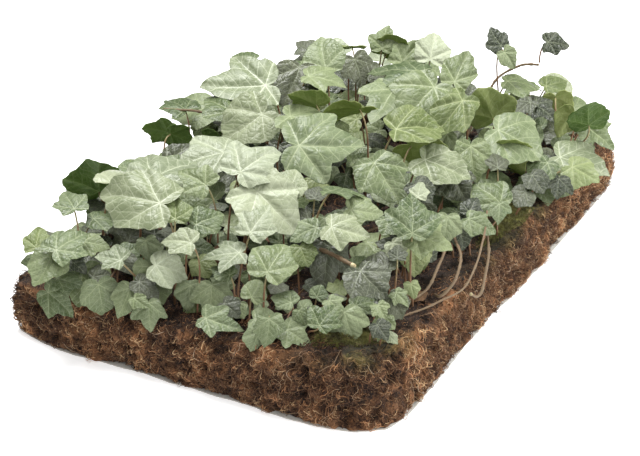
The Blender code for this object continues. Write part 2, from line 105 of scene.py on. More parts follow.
# Each leaf that is also a CAD node: name, kind of green, (u, v) of the point where blade and
# petiole meet, its height and the leaf's length to the tip in mm, which way the tip points
# (degrees from +X, anticlockwise), and the lean of the blade from level towards the light.
LEAVES = (
    ("leaf_front_1", "mid", (-0.69, -1.10), 18, 34, -20, 50),
    ("leaf_front_2", "pale", (-0.38, -0.99), 50, 27, -173, 20),
    ("leaf_front_3", "mid", (-0.47, -1.03), 25, 29, -55, 50),
    ("leaf_front_4", "mid", (-0.32, -1.00), 26, 30, -74, 50),
    ("leaf_front_5", "mid", (-0.20, -1.02), 19, 26, -61, 50),
    ("leaf_front_6", "mid", (0.02, -0.88), 28, 29, -63, 50),
    ("leaf_front_7", "mid", (0.13, -1.04), 22, 36, 0, 35),
    ("leaf_front_8", "mid", (0.44, -1.01), 26, 26, -61, 50),
    ("leaf_front_9", "mid", (0.66, -0.96), 20, 29, 94, 38),
    ("leaf_front_10", "mid", (0.34, -0.90), 55, 40, 96, 35),
    ("leaf_left_1", "young", (-0.81, -1.04), 55, 27, 116, 30),
    ("leaf_left_2", "mid", (-0.70, -1.06), 52, 34, -74, 35),
    ("leaf_left_3", "dark", (-0.99, -0.50), 35, 50, -62, -75),
    ("leaf_left_4", "pale", (-0.73, -0.68), 77, 46, 88, 0),
    ("leaf_left_5", "mid", (-0.81, -0.82), 65, 34, 142, 15),
    ("leaf_left_6", "dark", (-0.95, -0.09), 50, 30, -102, -72),
    ("leaf_centre_1", "pale", (-0.30, -0.83), 90, 63, -172, 30),
    ("leaf_centre_2", "mid", (-0.21, -0.65), 90, 34, 166, 40),
    ("leaf_centre_3", "pale", (-0.10, -0.55), 95, 50, 81, 35),
    ("leaf_centre_4", "mid", (0.02, -0.30), 95, 66, 24, 35),
    ("leaf_centre_5", "pale", (0.15, -0.78), 75, 38, 92, 35),
    ("leaf_centre_6", "pale", (0.00, -0.56), 80, 62, -27, 35),
    ("leaf_centre_7", "pale", (0.47, -0.64), 71, 38, 7, 28),
    ("leaf_centre_8", "mid", (0.35, -0.18), 77, 50, -38, 35),
    ("leaf_centre_9", "pale", (-0.39, -0.33), 80, 52, -135, 15),
    ("leaf_back_1", "pale", (-0.56, 0.16), 90, 68, -144, 30),
    ("leaf_back_2", "dark", (-0.53, 0.38), 85, 46, -72, 40),
    ("leaf_back_3", "mid", (-0.42, 0.45), 81, 40, 129, 45),
    ("leaf_back_4", "mid", (-0.29, 0.74), 80, 28, 114, 55),
    ("leaf_back_5", "pale", (-0.02, 0.79), 75, 34, 110, 50),
    ("leaf_back_6", "mid", (0.26, 0.60), 80, 44, 100, 40),
    ("leaf_back_7", "mid", (0.28, 0.39), 95, 56, -99, 30),
    ("leaf_back_8", "young", (0.37, -0.04), 98, 50, 45, 22),
    ("leaf_back_9", "young", (0.48, 0.34), 90, 58, -90, 40),
    ("leaf_back_10", "young", (0.57, 0.48), 57, 50, -67, -75),
    ("leaf_back_11", "mid", (-0.88, 0.42), 80, 26, 171, 15),
    ("leaf_right_1", "dark", (1.05, 0.60), 60, 40, -65, -75),
    ("leaf_right_2", "mid", (0.99, 0.69), 45, 38, -21, 30),
    ("leaf_right_3", "pale", (0.97, 0.47), 34, 54, 3, 20),
    ("leaf_right_4", "mid", (0.94, -0.02), 40, 36, 151, 40),
    ("leaf_right_5", "young", (1.08, 0.40), 37, 32, -9, 30),
    ("leaf_right_6", "mid", (0.82, -0.54), 65, 42, 115, 45),
    ("leaf_right_7", "pale", (0.54, -0.05), 75, 50, 0, 22),
    ("leaf_right_8", "dark", (0.70, -0.74), 45, 36, -32, 25),
    ("leaf_shoot_1", "dark", (0.45, 0.72), 114, 25, 140, 55),
    ("leaf_shoot_2", "dark", (0.66, 0.83), 114, 25, 28, 50),
)
# Leaves that are narrower or wider than most.
BLADE_WIDTHS = {"leaf_back_9": 0.62, "leaf_back_8": 0.80, "leaf_centre_1": 0.84, "leaf_front_1": 0.85}
# Where the petioles of the two leaves on the bare shoot start: (u, v, mm).
SHOOT_STARTS = {"leaf_shoot_1": (0.42, 0.80, 89), "leaf_shoot_2": (0.62, 0.83, 89)}

# More leaves between them, by the part of the mat they fill: kind, u, v, then as above.
MORE_LEAVES = {
    "front": (
        ("mid", -0.67, -1.06, 25, 27, 10, 20), ("mid", -0.61, -0.98, 28, 36, -65, 45),
        ("dark", -0.53, -1.00, 26, 18, 53, 30), ("dark", -0.29, -0.98, 30, 26, -7, 25),
        ("mid", -0.29, -0.91, 35, 41, -47, 50), ("pale", -0.23, -0.94, 45, 31, 18, 30),
        ("mid", -0.08, -0.90, 26, 24, -64, 50), ("mid", 0.35, -0.99, 20, 26, 6, 30),
        ("mid", 0.28, -0.93, 32, 22, 92, 30), ("mid", 0.39, -1.02, 10, 19, -71, 50),
        ("mid", 0.48, -0.92, 30, 21, 170, 30), ("mid", 0.51, -0.98, 12, 26, -13, 35),
        ("mid", 0.71, -0.86, 20, 29, -53, 45), ("mid", 0.55, -0.84, 26, 14, 100, 40),
        ("mid", 0.64, -0.87, 30, 16, -20, 30), ("mid", 0.53, -0.93, 22, 15, -46, 45),
        ("dark", 0.16, -0.96, 26, 20, -17, 35), ("mid", -0.26, -1.04, 24, 17, -20, 35),
        ("dark", -0.68, -1.00, 34, 26, -18, 35),
    ),
    "left": (
        ("mid", -0.66, -1.07, 60, 39, 74, 25), ("mid", -0.64, -0.94, 50, 26, 21, 10),
        ("mid", -0.39, -0.83, 45, 22, -55, 50), ("dark", -0.68, -0.52, 65, 21, -60, -70),
        ("dark", -0.90, -0.13, 55, 32, 81, -70), ("dark", -0.70, -0.11, 60, 18, 64, -70),
        ("mid", -0.97, 0.05, 60, 39, 151, 10), ("mid", -0.74, -0.78, 50, 27, 28, 10),
    ),
    "centre": (
        ("young", -0.21, -0.84, 80, 27, 113, 35), ("pale", -0.08, -0.89, 70, 28, -173, 30),
        ("mid", -0.12, -0.81, 75, 29, 65, 30), ("pale", -0.51, -0.66, 85, 60, 75, 10),
        ("mid", -0.63, 0.00, 75, 43, 171, 20), ("pale", -0.43, -0.02, 85, 50, -103, 40),
        ("mid", -0.26, -0.02, 88, 55, 10, 8), ("pale", 0.13, -0.50, 80, 24, 99, 40),
        ("pale", 0.13, -0.83, 60, 35, -147, 12), ("mid", 0.13, -0.89, 45, 22, 166, 30),
        ("young", 0.36, -0.71, 55, 21, -47, 35), ("mid", 0.39, -0.64, 65, 28, -130, 25),
        ("mid", 0.48, -0.52, 75, 31, 13, 25), ("mid", 0.34, -0.48, 85, 42, 28, -15),
        ("dark", 0.45, -0.63, 48, 42, -72, 40), ("young", -0.20, 0.10, 80, 40, -92, -60),
        ("young", 0.04, 0.12, 84, 46, 150, -38),
    ),
    "back": (
        ("mid", -0.43, 0.33, 85, 40, 16, 10), ("young", -0.30, 0.79, 75, 38, -42, -60),
        ("mid", -0.16, 0.74, 75, 39, 94, 45), ("mid", 0.05, 0.58, 86, 60, -176, 2),
        ("mid", 0.31, 0.40, 90, 37, 39, 15), ("mid", -0.01, 0.47, 78, 62, -85, 12),
        ("young", -0.44, 0.69, 80, 40, 140, -20), ("mid", 0.48, 0.75, 70, 41, 22, 4),
        ("young", 0.68, 0.80, 65, 28, 58, 20), ("mid", 0.48, 0.71, 108, 21, -35, 55),
    ),
    "right": (
        ("dark", 0.71, 0.64, 60, 30, -13, 20), ("dark", 0.69, 0.63, 60, 26, -113, 20),
        ("young", 0.75, 0.78, 65, 39, 113, -62), ("young", 0.93, 0.64, 55, 33, 132, -70),
        ("mid", 0.69, 0.34, 65, 55, 0, 25), ("young", 0.71, 0.30, 60, 52, 92, -50),
        ("mid", 0.94, -0.03, 40, 21, -57, 30), ("mid", 0.90, -0.22, 45, 30, -8, 30),
        ("dark", 0.87, -0.17, 45, 21, 99, 40), ("dark", 0.77, -0.20, 40, 24, -56, 40),
        ("dark", 1.05, 0.33, 30, 22, -70, 40), ("mid", 0.81, -0.51, 60, 39, 1, 30),
        ("pale", 0.70, -0.33, 75, 21, 112, 30), ("young", 0.39, 0.05, 70, 50, 70, -50),
        ("dark", 0.81, -0.63, 50, 16, 117, 30), ("young", 0.76, -0.45, 40, 31, -55, 45),
        ("dark", 0.82, 0.14, 55, 23, 120, 30), ("dark", 0.98, 0.14, 35, 20, -106, 30),
        ("dark", 0.98, 0.19, 45, 23, -36, 30), ("mid", 0.90, -0.83, 22, 22, -70, 40),
        ("dark", 0.85, -0.73, 25, 23, -35, 30), ("mid", 0.64, 0.18, 65, 39, -63, 40),
        ("dark", 0.65, 0.01, 55, 36, -37, 30), ("mid", 0.97, 0.35, 45, 30, -99, 30),
        ("mid", 0.82, -0.27, 50, 30, -66, 45), ("dark", 0.84, -0.21, 34, 26, -48, 45),
        ("dark", 0.61, -0.22, 72, 24, -31, 35), ("mid", 0.86, -0.83, 32, 17, -36, 30),
        ("dark", 0.90, -0.89, 24, 17, -31, 35), ("mid", 0.87, -0.72, 26, 17, -19, 30),
        ("pale", 0.95, -0.88, 16, 12, -26, 35), ("young", 0.77, -0.43, 36, 25, -51, 50),
        ("pale", 0.71, -0.53, 48, 19, -35, 35), ("young", 0.89, -0.64, 28, 14, -54, 50),
    ),
}

# Bare woody stems in the air, as in the CAD part: name, radius, and the (u, v, mm) they pass.
STEMS = (
    ("runner_right_1", RUNNER_RADIUS,
     ((0.86, -0.64, 4), (0.90, -0.54, 9), (0.86, -0.36, 20), (0.78, -0.18, 34))),
    ("runner_right_2", RUNNER_RADIUS,
     ((0.84, -0.24, 26), (0.95, -0.36, 24), (1.00, -0.48, 16), (0.98, -0.56, 8), (0.94, -0.54, 5))),
    ("runner_right_3", RUNNER_RADIUS,
     ((0.90, -0.10, 34), (1.03, -0.26, 22), (1.09, -0.41, 2), (1.09, -0.46, -4), (1.08, -0.50, 3))),
    ("runner_right_4", THIN_STEM_RADIUS,
     ((0.90, -0.72, 4), (1.00, -0.62, 10), (1.06, -0.50, 14), (1.02, -0.30, 32), (0.94, -0.13, 44))),
    ("cut_stub", STUB_RADIUS,
     ((0.22, -0.46, 5), (0.31, -0.56, 30), (0.42, -0.63, 47), (0.64, -0.68, 42))),
    ("runner_left", RUNNER_RADIUS,
     ((-1.08, 0.02, 60), (-0.88, 0.05, 60), (-0.67, 0.06, 56), (-0.46, 0.08, 34), (-0.30, 0.12, 5))),
    ("shoot_stem", RUNNER_RADIUS,
     ((0.34, 0.52, 4), (0.36, 0.64, 30), (0.40, 0.76, 66), (0.50, 0.82, 82), (0.62, 0.83, 86))),
)
VINES = (
    ("vine_1",
     ((-0.78, -0.72), (-0.58, -0.50), (-0.62, -0.16), (-0.38, 0.14), (-0.52, 0.50), (-0.36, 0.82))),
    ("vine_2",
     ((0.52, -0.84), (0.60, -0.56), (0.34, -0.24), (0.56, 0.10), (0.44, 0.36), (0.66, 0.70))),
)
# Moss cushions, as in the CAD part: name, (u, v) of the middle, half length along X and along Y.
MOSS = (
    ("moss_near_corner", (0.74, -0.86), 0.034, 0.026),
    ("moss_right_edge", (0.90, 0.12), 0.014, 0.060),
)


# ---- noise -------------------------------------------------------------------------------------
def lattice(cells, seed):
    """A number from 0 to 1 for each whole-number cell, from the fractional part of a large sine."""
    mixed = cells @ np.array([127.1, 311.7, 74.7]) + 19.19 * seed
    return np.modf(np.abs(np.sin(mixed)) * 43758.5453)[0]


def value_noise(points, seed):
    """Noise from -1 to 1: the numbers at a cell's eight corners, blended with smooth steps."""
    whole = np.floor(points)
    step = points - whole
    step = step * step * (3 - 2 * step)
    total = np.zeros(points.shape[:-1])
    for corner in np.ndindex(2, 2, 2):
        share = np.prod(np.where(corner, step, 1 - step), axis=-1)
        total += share * lattice(whole + corner, seed)
    return 2 * total - 1


def fractal(points, size, seed, octaves=3):
    """Value noise summed over octaves, each twice as fine and a little over half as strong."""
    total = np.zeros(points.shape[:-1])
    for octave in range(octaves):
        total += 0.55**octave * value_noise(points * (2**octave / size), seed + 7 * octave)
    return total


# ---- meshes ------------------------------------------------------------------------------------
class Skin:
    """Points and faces of one piece, gathered from several closed shapes."""

    def __init__(self):
        self.points, self.maps, self.tones, self.faces, self.looks = [], [], [], [], []
        self.count = 0

    def add(self, points, faces, uv=None, look=0, tone=(0.5, 0.5, 0.5)):
        """faces is a list of whole-number arrays, one row for each face. look is the material's number."""
        points = np.asarray(points, float).reshape(-1, 3)
        flat = np.zeros((len(points), 2)) if uv is None else np.asarray(uv, float).reshape(-1, 2)
        self.points.append(points)
        self.maps.append(flat)
        self.tones.append(np.broadcast_to(np.asarray(tone, float), (len(points), 3)))
        for rows in faces:
            self.faces.append(np.asarray(rows) + self.count)
            self.looks.append(np.full(len(rows), look))
        self.count += len(points)

    def piece(self, name, materials, replaced=(), slot=None, smooth=True):
        """Makes the mesh and its object, and lets it ride on the frame."""
        points = np.concatenate(self.points)
        loops = np.concatenate([rows.ravel() for rows in self.faces])
        widths = np.concatenate([np.full(len(rows), rows.shape[1]) for rows in self.faces])
        mesh = bpy.data.meshes.new(name)
        mesh.vertices.add(len(points))
        mesh.vertices.foreach_set("co", points.ravel())
        mesh.loops.add(len(loops))
        mesh.loops.foreach_set("vertex_index", loops)
        mesh.polygons.add(len(widths))
        mesh.polygons.foreach_set("loop_start", np.cumsum(widths) - widths)
        mesh.polygons.foreach_set("material_index", np.concatenate(self.looks))
        uv_map = mesh.uv_layers.new(name="UVMap")
        uv_map.data.foreach_set("uv", np.concatenate(self.maps)[loops].ravel())
        tones = np.concatenate(self.tones)
        tone = mesh.color_attributes.new("tone", "FLOAT_COLOR", "POINT")
        tone.data.foreach_set("color", np.concatenate([tones, np.ones((len(tones), 1))], axis=1).ravel())
        mesh.update(calc_edges=True)
        mesh.polygons.foreach_set("use_smooth", np.full(len(widths), smooth))
        for finish in materials:
            mesh.materials.append(finish)
        obj = bpy.data.objects.new(name, mesh)
        bpy.context.scene.collection.objects.link(obj)
        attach(obj, "root")
        if replaced:
            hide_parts(*replaced)
        return obj


def ring_faces(rings, count):
    """Quads between neighbouring rings of count points each, outwards for rings that turn
    anticlockwise round their direction of travel."""
    i, j = np.meshgrid(np.arange(rings - 1), np.arange(count), indexing="ij")
    here, there = i * count + j, i * count + (j + 1) % count
    return np.stack([here, there, there + count, here + count], axis=-1).reshape(-1, 4)


def unit(vectors):
    """The same directions with length 1."""
    return vectors / np.maximum(np.linalg.norm(vectors, axis=-1, keepdims=True), 1e-12)


def tubes(paths, radii, sides):
    """Closed tubes along paths of shape (tubes, points, 3), pointed a little beyond both ends.

    A ring stands square to the path at each point: point + radius (cos a * across + sin a * other),
    where across and other are square to the path's direction.
    """
    number, length, _ = paths.shape
    tangents = unit(np.gradient(paths, axis=1))
    whole = unit(paths[:, -1] - paths[:, 0])
    least = np.eye(3)[np.argmin(np.abs(whole), axis=1)]
    across = unit(np.cross(np.broadcast_to(least[:, None], tangents.shape), tangents))
    other = np.cross(tangents, across)
    angle = np.arange(sides) * math.tau / sides
    ring = np.cos(angle)[:, None] * across[:, :, None] + np.sin(angle)[:, None] * other[:, :, None]
    body = paths[:, :, None] + np.asarray(radii)[:, :, None, None] * ring
    body = body.reshape(number, length * sides, 3)
    first = paths[:, 0] - tangents[:, 0] * radii[:, :1]
    last = paths[:, -1] + tangents[:, -1] * radii[:, -1:]
    points = np.concatenate([body, first[:, None], last[:, None]], axis=1)
    per_tube = points.shape[1]
    shift = (np.arange(number) * per_tube)[:, None, None]
    quads = (ring_faces(length, sides)[None] + shift).reshape(-1, 4)
    j = np.arange(sides)
    start = np.stack([(j + 1) % sides, j, np.full(sides, length * sides)], axis=-1)
    end = np.stack([j, (j + 1) % sides, np.full(sides, sides + 1)], axis=-1) + (length - 1) * sides
    end[:, 2] = length * sides + 1
    caps = (np.concatenate([start, end])[None] + shift).reshape(-1, 3)
    along = np.broadcast_to(np.linspace(0, 1, length)[:, None], (length, sides))
    around = np.broadcast_to(np.arange(sides) / sides, (length, sides))
    uv = np.stack([around, along], axis=-1).reshape(-1, 2)
    uv = np.concatenate([uv, [[0.5, 0.0], [0.5, 1.0]]])
    return points.reshape(-1, 3), [quads, caps], np.tile(uv, (number, 1))


# ---- the mat's shape, as in the CAD part -------------------------------------------------------
def nearness(u, v):
    """1 at the near corner, the right end of the front edge, and falling away quickly from it."""
    return np.maximum(0.0, (u - v) / 2) ** 4


def plan_xy(u, v):
    """The place (u, v) in metres: a rectangle whose corners are pulled in, the near one most, and
    whose front edge bows out in its middle."""
    pull = CORNER_PULL + NEAR_CORNER_PULL * nearness(u, v)
    x = 0.5 * MAT_WIDTH * u * (1 - pull * v**6)
    y = 0.5 * MAT_LENGTH * v * (1 - pull * u**6)
    return x, y - FRONT_BOW * ((1 - v) / 2) ** 3 * (1 - u**4)


def foot_spread(u, v):
    """How far the mat's foot spreads beyond its top: the near corner sags out most."""
    return FOOT_SPREAD + NEAR_FOOT_SPREAD * nearness(u, v) ** 2


def mat_top(u, v):
    """Height of the mat's top: level, lifted or dropped at three corners, bumpy, falling at the rim."""
    u, v = np.clip(u, -1, 1), np.clip(v, -1, 1)
    right, left, back, front = (1 + u) / 2, (1 - u) / 2, (1 + v) / 2, (1 - v) / 2
    corners = NEAR_CORNER_RISE * right * front - FRONT_LEFT_DROP * left * front**2
    corners = corners + FAR_LEFT_RISE * (left * back) ** 4
    bumps = np.sin(5.1 * u + 1.3) * np.cos(4.3 * v + 0.4) + 0.5 * np.sin(6 * u - 5 * v)
    return MAT_THICKNESS + corners + MAT_BUMP * bumps - MAT_EDGE_FALL * (u**8 + v**8) / 2


def on_mat(u, v, height=0.0):
    """The point this high above the mat's top at (u, v)."""
    u, v = np.asarray(u, float), np.asarray(v, float)
    x, y = plan_xy(u, v)
    return np.stack(np.broadcast_arrays(x, y, mat_top(u, v) + height), axis=-1)


def rim_uv(count_u, count_v):
    """(u, v) of points along the rim, once round, anticlockwise from the front left corner."""
    across, along = np.linspace(-1, 1, count_u + 1), np.linspace(-1, 1, count_v + 1)
    u = np.concatenate([across[:-1], np.ones(count_v), across[:0:-1], -np.ones(count_v)])
    v = np.concatenate([-np.ones(count_u), along[:-1], np.ones(count_u), along[:0:-1]])
    return u, v


def rim_point(u, v, z, outwards):
    """A point outside or inside the rim place (u, v) by the given amount, plus the rim's own waves."""
    x, y = plan_xy(u, v)
    way = unit(np.stack([u**9, v**9], axis=-1))
    turn = np.arctan2(v, u)
    wave = np.sin(5 * turn + 0.7) + 0.6 * np.sin(11 * turn + 60 * z) + 0.4 * np.sin(23 * turn + 2)
    off = outwards + 0.5 * MAT_EDGE_WAVE * wave
    return np.stack(np.broadcast_arrays(x + way[..., 0] * off, y + way[..., 1] * off, z), axis=-1)


def wall_relief(points):
    """How far the wall's crumbs and clumps stand out: coarse clumps, fine crumbs and deep hollows."""
    clumps = fractal(points, 0.024, 3, 3)
    crumbs = fractal(points, 0.0065, 51, 2)
    hollows = np.clip(fractal(points, 0.013, 11, 3) - 0.25, 0, 1)
    return WALL_RELIEF * (0.75 * clumps + 0.36 * crumbs - 2.6 * hollows)


def standing(points):
    """From 0 in the wall's hollows to 1 on its clumps, by the relief there: the mask of the shade painted
    into the hollows.
    """
    return np.clip(0.60 + 0.50 * wall_relief(points) / WALL_RELIEF, 0, 1)


def mossiness(points):
    """From 0 to 1: how green the mat is. Moss grows round the near corner's top and along the top
    of the right edge, in patches: exp(-(distance / reach)^2) of each place, times noise."""
    x, y, z = np.moveaxis(points, -1, 0)
    corner = np.exp(-(((x - 0.165) / 0.050) ** 2 + ((y + 0.270) / 0.045) ** 2))
    edge = np.exp(-(((x - 0.185) / 0.030) ** 2 + ((y - 0.040) / 0.120) ** 2))
    patches = np.clip(0.55 + 0.9 * fractal(points, 0.018, 41, 2), 0, 1)
    return np.clip(1.2 * (corner + edge), 0, 1) * patches * np.clip((z - 0.046) / 0.012, 0, 1)


def corner_curl(points):
    """How far the mat curls up at its front left corner: exp(-(distance / reach)^2)."""
    x, y = points[..., 0], points[..., 1]
    return CORNER_CURL * np.exp(-(((x + 0.196) / 0.024) ** 2) - ((y + 0.285) / 0.032) ** 2)


def wall_place(u, v, share, outwards=0.0):
    """A point on the mat's wall: share is 0 at the foot and 1 at the top. The wall bulges in the
    middle, rounds off at its upper edge, and has its relief on top of that."""
    rim = on_mat(u, v)
    top = rim[..., 2] + top_relief(rim)
    z = MAT_UNDERSIDE + share * (top - MAT_UNDERSIDE)
    belly = MAT_BULGE * (1 - (2 * share - 1) ** 4) - 0.004 * share**12 + (1 - share) * foot_spread(u, v)
    belly = belly + 0.9 * share**2 * corner_curl(rim)
    flat = rim_point(u, v, z, belly)
    return rim_point(u, v, z, belly + wall_relief(flat) + outwards)


def top_relief(points):
    """Bumps on the mat's top: soft clumps with finer crumbs, and the front left corner curled up."""
    bumps = 0.7 * fractal(points, 0.035, 21, 4) + 0.35 * fractal(points, 0.008, 29, 2)
    return TOP_RELIEF * bumps + corner_curl(points)


def rim_track(count=1600):
    """Distance along the rim against (u, v), for placing things by their distance round the mat."""
    u, v = rim_uv(2 * count // 10, 3 * count // 10)
    u, v = np.append(u, u[0]), np.append(v, v[0])
    x, y = plan_xy(u, v)
    run = np.concatenate([[0], np.cumsum(np.hypot(np.diff(x), np.diff(y)))])
    return run, u, v


RIM_RUN, RIM_U, RIM_V = rim_track()
RIM_LENGTH = RIM_RUN[-1]


def wall_at(run, share, outwards):
    """A point on the wall by its distance round the mat."""
    run = np.mod(run, RIM_LENGTH)
    return wall_place(np.interp(run, RIM_RUN, RIM_U), np.interp(run, RIM_RUN, RIM_V), share, outwards)


# ---- leaves ------------------------------------------------------------------------------------
def blade_reach(turn, lobing, shoulder, basal, fall, point):
    """Distance from petiole to margin at an angle from the tip, as a share of the leaf's length.

    Five lobes: the tip at 0 degrees, shoulders at 54 and basal lobes at 112. Between two lobes the
    margin falls from each to the bay between them as (1 - s)^point, s being the share of the way,
    so that a lobe is full where point is near 1 and drawn out where it is more. From the basal lobe
    to the notch behind the petiole it falls as (1 - s)^fall. lobing is how deep the bays are cut,
    from 0 to 1.
    """
    turn = np.degrees(np.abs(turn))
    bay_1 = 0.5 * (1 + shoulder) * (0.91 - 0.26 * lobing)
    bay_2 = 0.5 * (shoulder + basal) * (0.92 - 0.20 * lobing)
    reach = np.zeros_like(turn)
    near_bay, far_bay = BAY_TURNS
    lobe_sides = ((0, near_bay, 1.0, bay_1), (SHOULDER_TURN, near_bay, shoulder, bay_1),
                  (SHOULDER_TURN, far_bay, shoulder, bay_2), (BASAL_TURN, far_bay, basal, bay_2))
    for lobe, bay, start, end in lobe_sides:
        share = (turn - lobe) / (bay - lobe)
        inside = (share >= 0) & (share <= 1)
        reach = np.where(inside, end + (start - end) * (1 - np.clip(share, 0, 1)) ** point, reach)
    share = np.clip((turn - BASAL_TURN) / (180 - BASAL_TURN), 0, 1)
    return np.where(turn > BASAL_TURN, NOTCH_REACH + (basal - NOTCH_REACH) * (1 - share) ** fall, reach)


def blade_axes(heading, lean):
    """Unit vectors along the midrib, to its right, and out of the upper side."""
    heading, lean = math.radians(heading), math.radians(lean)
    light = np.array([math.cos(LIGHT_AZIMUTH), math.sin(LIGHT_AZIMUTH), 0])
    normal = np.array([0, 0, math.cos(lean)]) + light * math.sin(lean)
    level = np.array([math.cos(heading), math.sin(heading), 0])
    along = unit(level - normal * (level @ normal))
    return along, np.cross(along, normal), normal


class Blade:
    """One leaf's own shape: its lobes, how it is swept and spread, and how it droops and ripples."""

    def __init__(self, rng, kind):
        self.lobing = rng.uniform(0.0, 1.0) ** 1.3 * (0.5 if kind == "young" else 1.0)
        self.shoulder = rng.uniform(0.68, 0.90)
        self.basal = rng.uniform(0.36, 0.56)
        self.fall = rng.uniform(0.8, 1.6)
        self.point = rng.uniform(0.95, 1.35)
        self.skew = rng.uniform(-0.08, 0.08)
        self.width = rng.uniform(0.84, 1.06)
        self.sweep = rng.uniform(-0.20, 0.20)
        self.spread = rng.uniform(-0.16, 0.16)
        self.droop = BLADE_DROOP * rng.uniform(0.6, 1.6)
        self.fold = rng.uniform(-0.02, 0.24)
        self.puff = rng.uniform(0.030, 0.060)
        self.curl = rng.uniform(-0.22, 0.22)
        self.ripple = rng.uniform(0.8, 2.2)
        self.phases = rng.uniform(0, math.tau, 8)

    def margin(self, turn):
        """The outline with its left and right sides a little unlike and its edge uneven."""
        uneven = 1 + self.skew * np.sin(turn)
        for size, waves, phase in ((0.024, 7, 0), (0.020, 16, 1), (0.014, 27, 6)):
            uneven = uneven + size * np.sin(waves * turn + self.phases[phase])
        return blade_reach(turn, self.lobing, self.shoulder, self.basal, self.fall, self.point) * uneven

    def plan(self, ahead, aside):
        """Sets the even leaf askew: wider or narrower, its midrib swept to one side and its
        shoulders spread forward or back, both with the square of the distance."""
        return ahead + self.spread * aside**2, self.width * aside + self.sweep * ahead * np.abs(ahead)

    def rise(self, ahead, aside):
        """Height over the leaf's own plane, for places ahead of and beside the petiole.

        -droop r^2, plus fold times the distance from the midrib, plus tissue puffed up between the
        veins as 1 - exp(-(d / 0.07)^2) of the distance d from the nearest main vein, plus slow
        ripples that grow with r^3 and a curl of one side against the other.
        """
        reach = np.hypot(ahead, aside)
        turn = np.arctan2(aside, ahead)
        near = np.full(reach.shape, 9.0)
        for vein in (0, SHOULDER_TURN, BASAL_TURN):
            bearing = math.radians(vein)
            on = ahead * math.cos(bearing) + np.abs(aside) * math.sin(bearing)
            off = np.abs(np.abs(aside) * math.cos(bearing) - ahead * math.sin(bearing))
            near = np.where(on > 0, np.minimum(near, off), near)
        puff = self.puff * (1 - np.exp(-((near / 0.07) ** 2))) * np.minimum(1, 3 * reach)
        ripple = 0.035 * reach**3 * np.sin(3 * turn + self.phases[2])
        ripple = ripple + 0.024 * reach**4 * np.sin(8 * turn + self.phases[3])
        dimples = 0.012 * reach**2 * np.sin(9 * ahead + self.phases[4])
        ripple = ripple + dimples * np.sin(8 * aside + self.phases[5])
        fold = self.fold * (np.sqrt(aside**2 + 0.0016) - 0.04) * (1 - 0.5 * reach)
        return -self.droop * reach**2 + fold + puff + self.ripple * ripple + self.curl * ahead * aside

    def skin(self, junction, length, axes, rings, spokes):
        """Points, faces and map of the closed blade: an upper and an under side that share the margin.

        Rings are the outline shrunk about the petiole. The last one before the margin lies close
        to it, so that the thin edge doesn't shade the side.
        """
        shares = np.concatenate([(np.arange(1, rings - 1) / (rings - 1)) ** 0.9, [0.985, 1.0]])
        turn = np.linspace(-math.pi, math.pi, spokes, endpoint=False)
        reach = shares[:, None] * self.margin(turn)
        ahead, aside = reach * np.cos(turn), reach * np.sin(turn)
        along, beside, normal = axes
        plan_ahead, plan_aside = self.plan(ahead, aside)

        def side(sink):
            height = self.rise(ahead, aside) - sink * BLADE_THICKNESS / length
            height = height[..., None]
            flat = plan_ahead[..., None] * along + plan_aside[..., None] * beside
            return junction + length * (flat + height * normal)

        upper = side(0.0).reshape(-1, 3)
        under = side(1.0)[:-1].reshape(-1, 3)
        middle = self.rise(np.zeros(1), np.zeros(1))[0] * length
        centres = [junction + middle * normal, junction + (middle - BLADE_THICKNESS) * normal]
        points = np.concatenate([upper, under, centres])
        flat = np.stack([aside, ahead], axis=-1).reshape(-1, 2)
        flat = 0.5 + LEAF_MAP_SCALE * np.concatenate([flat, flat[:-spokes], np.zeros((2, 2))])
        inner = (rings - 1) * spokes
        underneath = rings * spokes
        top_quads = ring_faces(rings, spokes)
        low_quads = ring_faces(rings - 1, spokes)[:, ::-1] + underneath
        j = np.arange(spokes)
        k = (j + 1) % spokes
        low_edge = underneath + inner - spokes
        edge = np.stack([inner + j, inner + k, low_edge + k, low_edge + j], axis=-1)
        top_fan = np.stack([k, j, np.full(spokes, len(points) - 2)], axis=-1)
        low_fan = np.stack([underneath + j, underneath + k, np.full(spokes, len(points) - 1)], axis=-1)
        return points, flat, (top_quads, top_fan), (low_quads, edge, low_fan)


def bezier(a, b, c, d, count):
    """Points on the cubic curve from a to d that leaves towards b and arrives from c."""
    t = np.linspace(0, 1, count)[:, None]
    return (1 - t) ** 3 * a + 3 * (1 - t) ** 2 * t * b + 3 * (1 - t) * t**2 * c + t**3 * d


def add_leaf(skin, rng, kind, junction, length, heading, lean, foot, detail, width=1.0):
    """Adds one blade and its petiole. detail is (rings, spokes) of the blade."""
    axes = blade_axes(heading, lean)
    along, _, normal = axes
    blade = Blade(rng, kind)
    blade.width *= width
    tone = (rng.uniform(0, 1), rng.uniform(0, 1), rng.uniform(0, 1))
    points, flat, top, low = blade.skin(junction, length, axes, *detail)
    skin.add(points, [*top], flat, 0, tone)
    skin.faces += [rows + skin.count - len(points) for rows in low]
    skin.looks += [np.full(len(rows), 1) for rows in low]
    reach = 0.35 * np.linalg.norm(junction - foot)
    leave = unit(-0.8 * normal - 0.6 * along)
    start = junction - 1.3 * PETIOLE_RADIUS * normal
    path = bezier(start, start + leave * reach, foot + np.array([0, 0, reach]), foot, PETIOLE_POINTS)
    sway = np.sin(np.linspace(0, math.pi, PETIOLE_POINTS))[:, None] * rng.normal(0, 0.02, 3) * reach
    stout = PETIOLE_RADIUS * (0.75 + 0.25 * min(1.6, length / 0.04))
    radii = stout * np.linspace(0.85, 1.15, PETIOLE_POINTS)[None]
    stalk, faces, stalk_map = tubes((path + sway)[None], radii, 6)
    skin.add(stalk, faces, stalk_map, 2, tone)


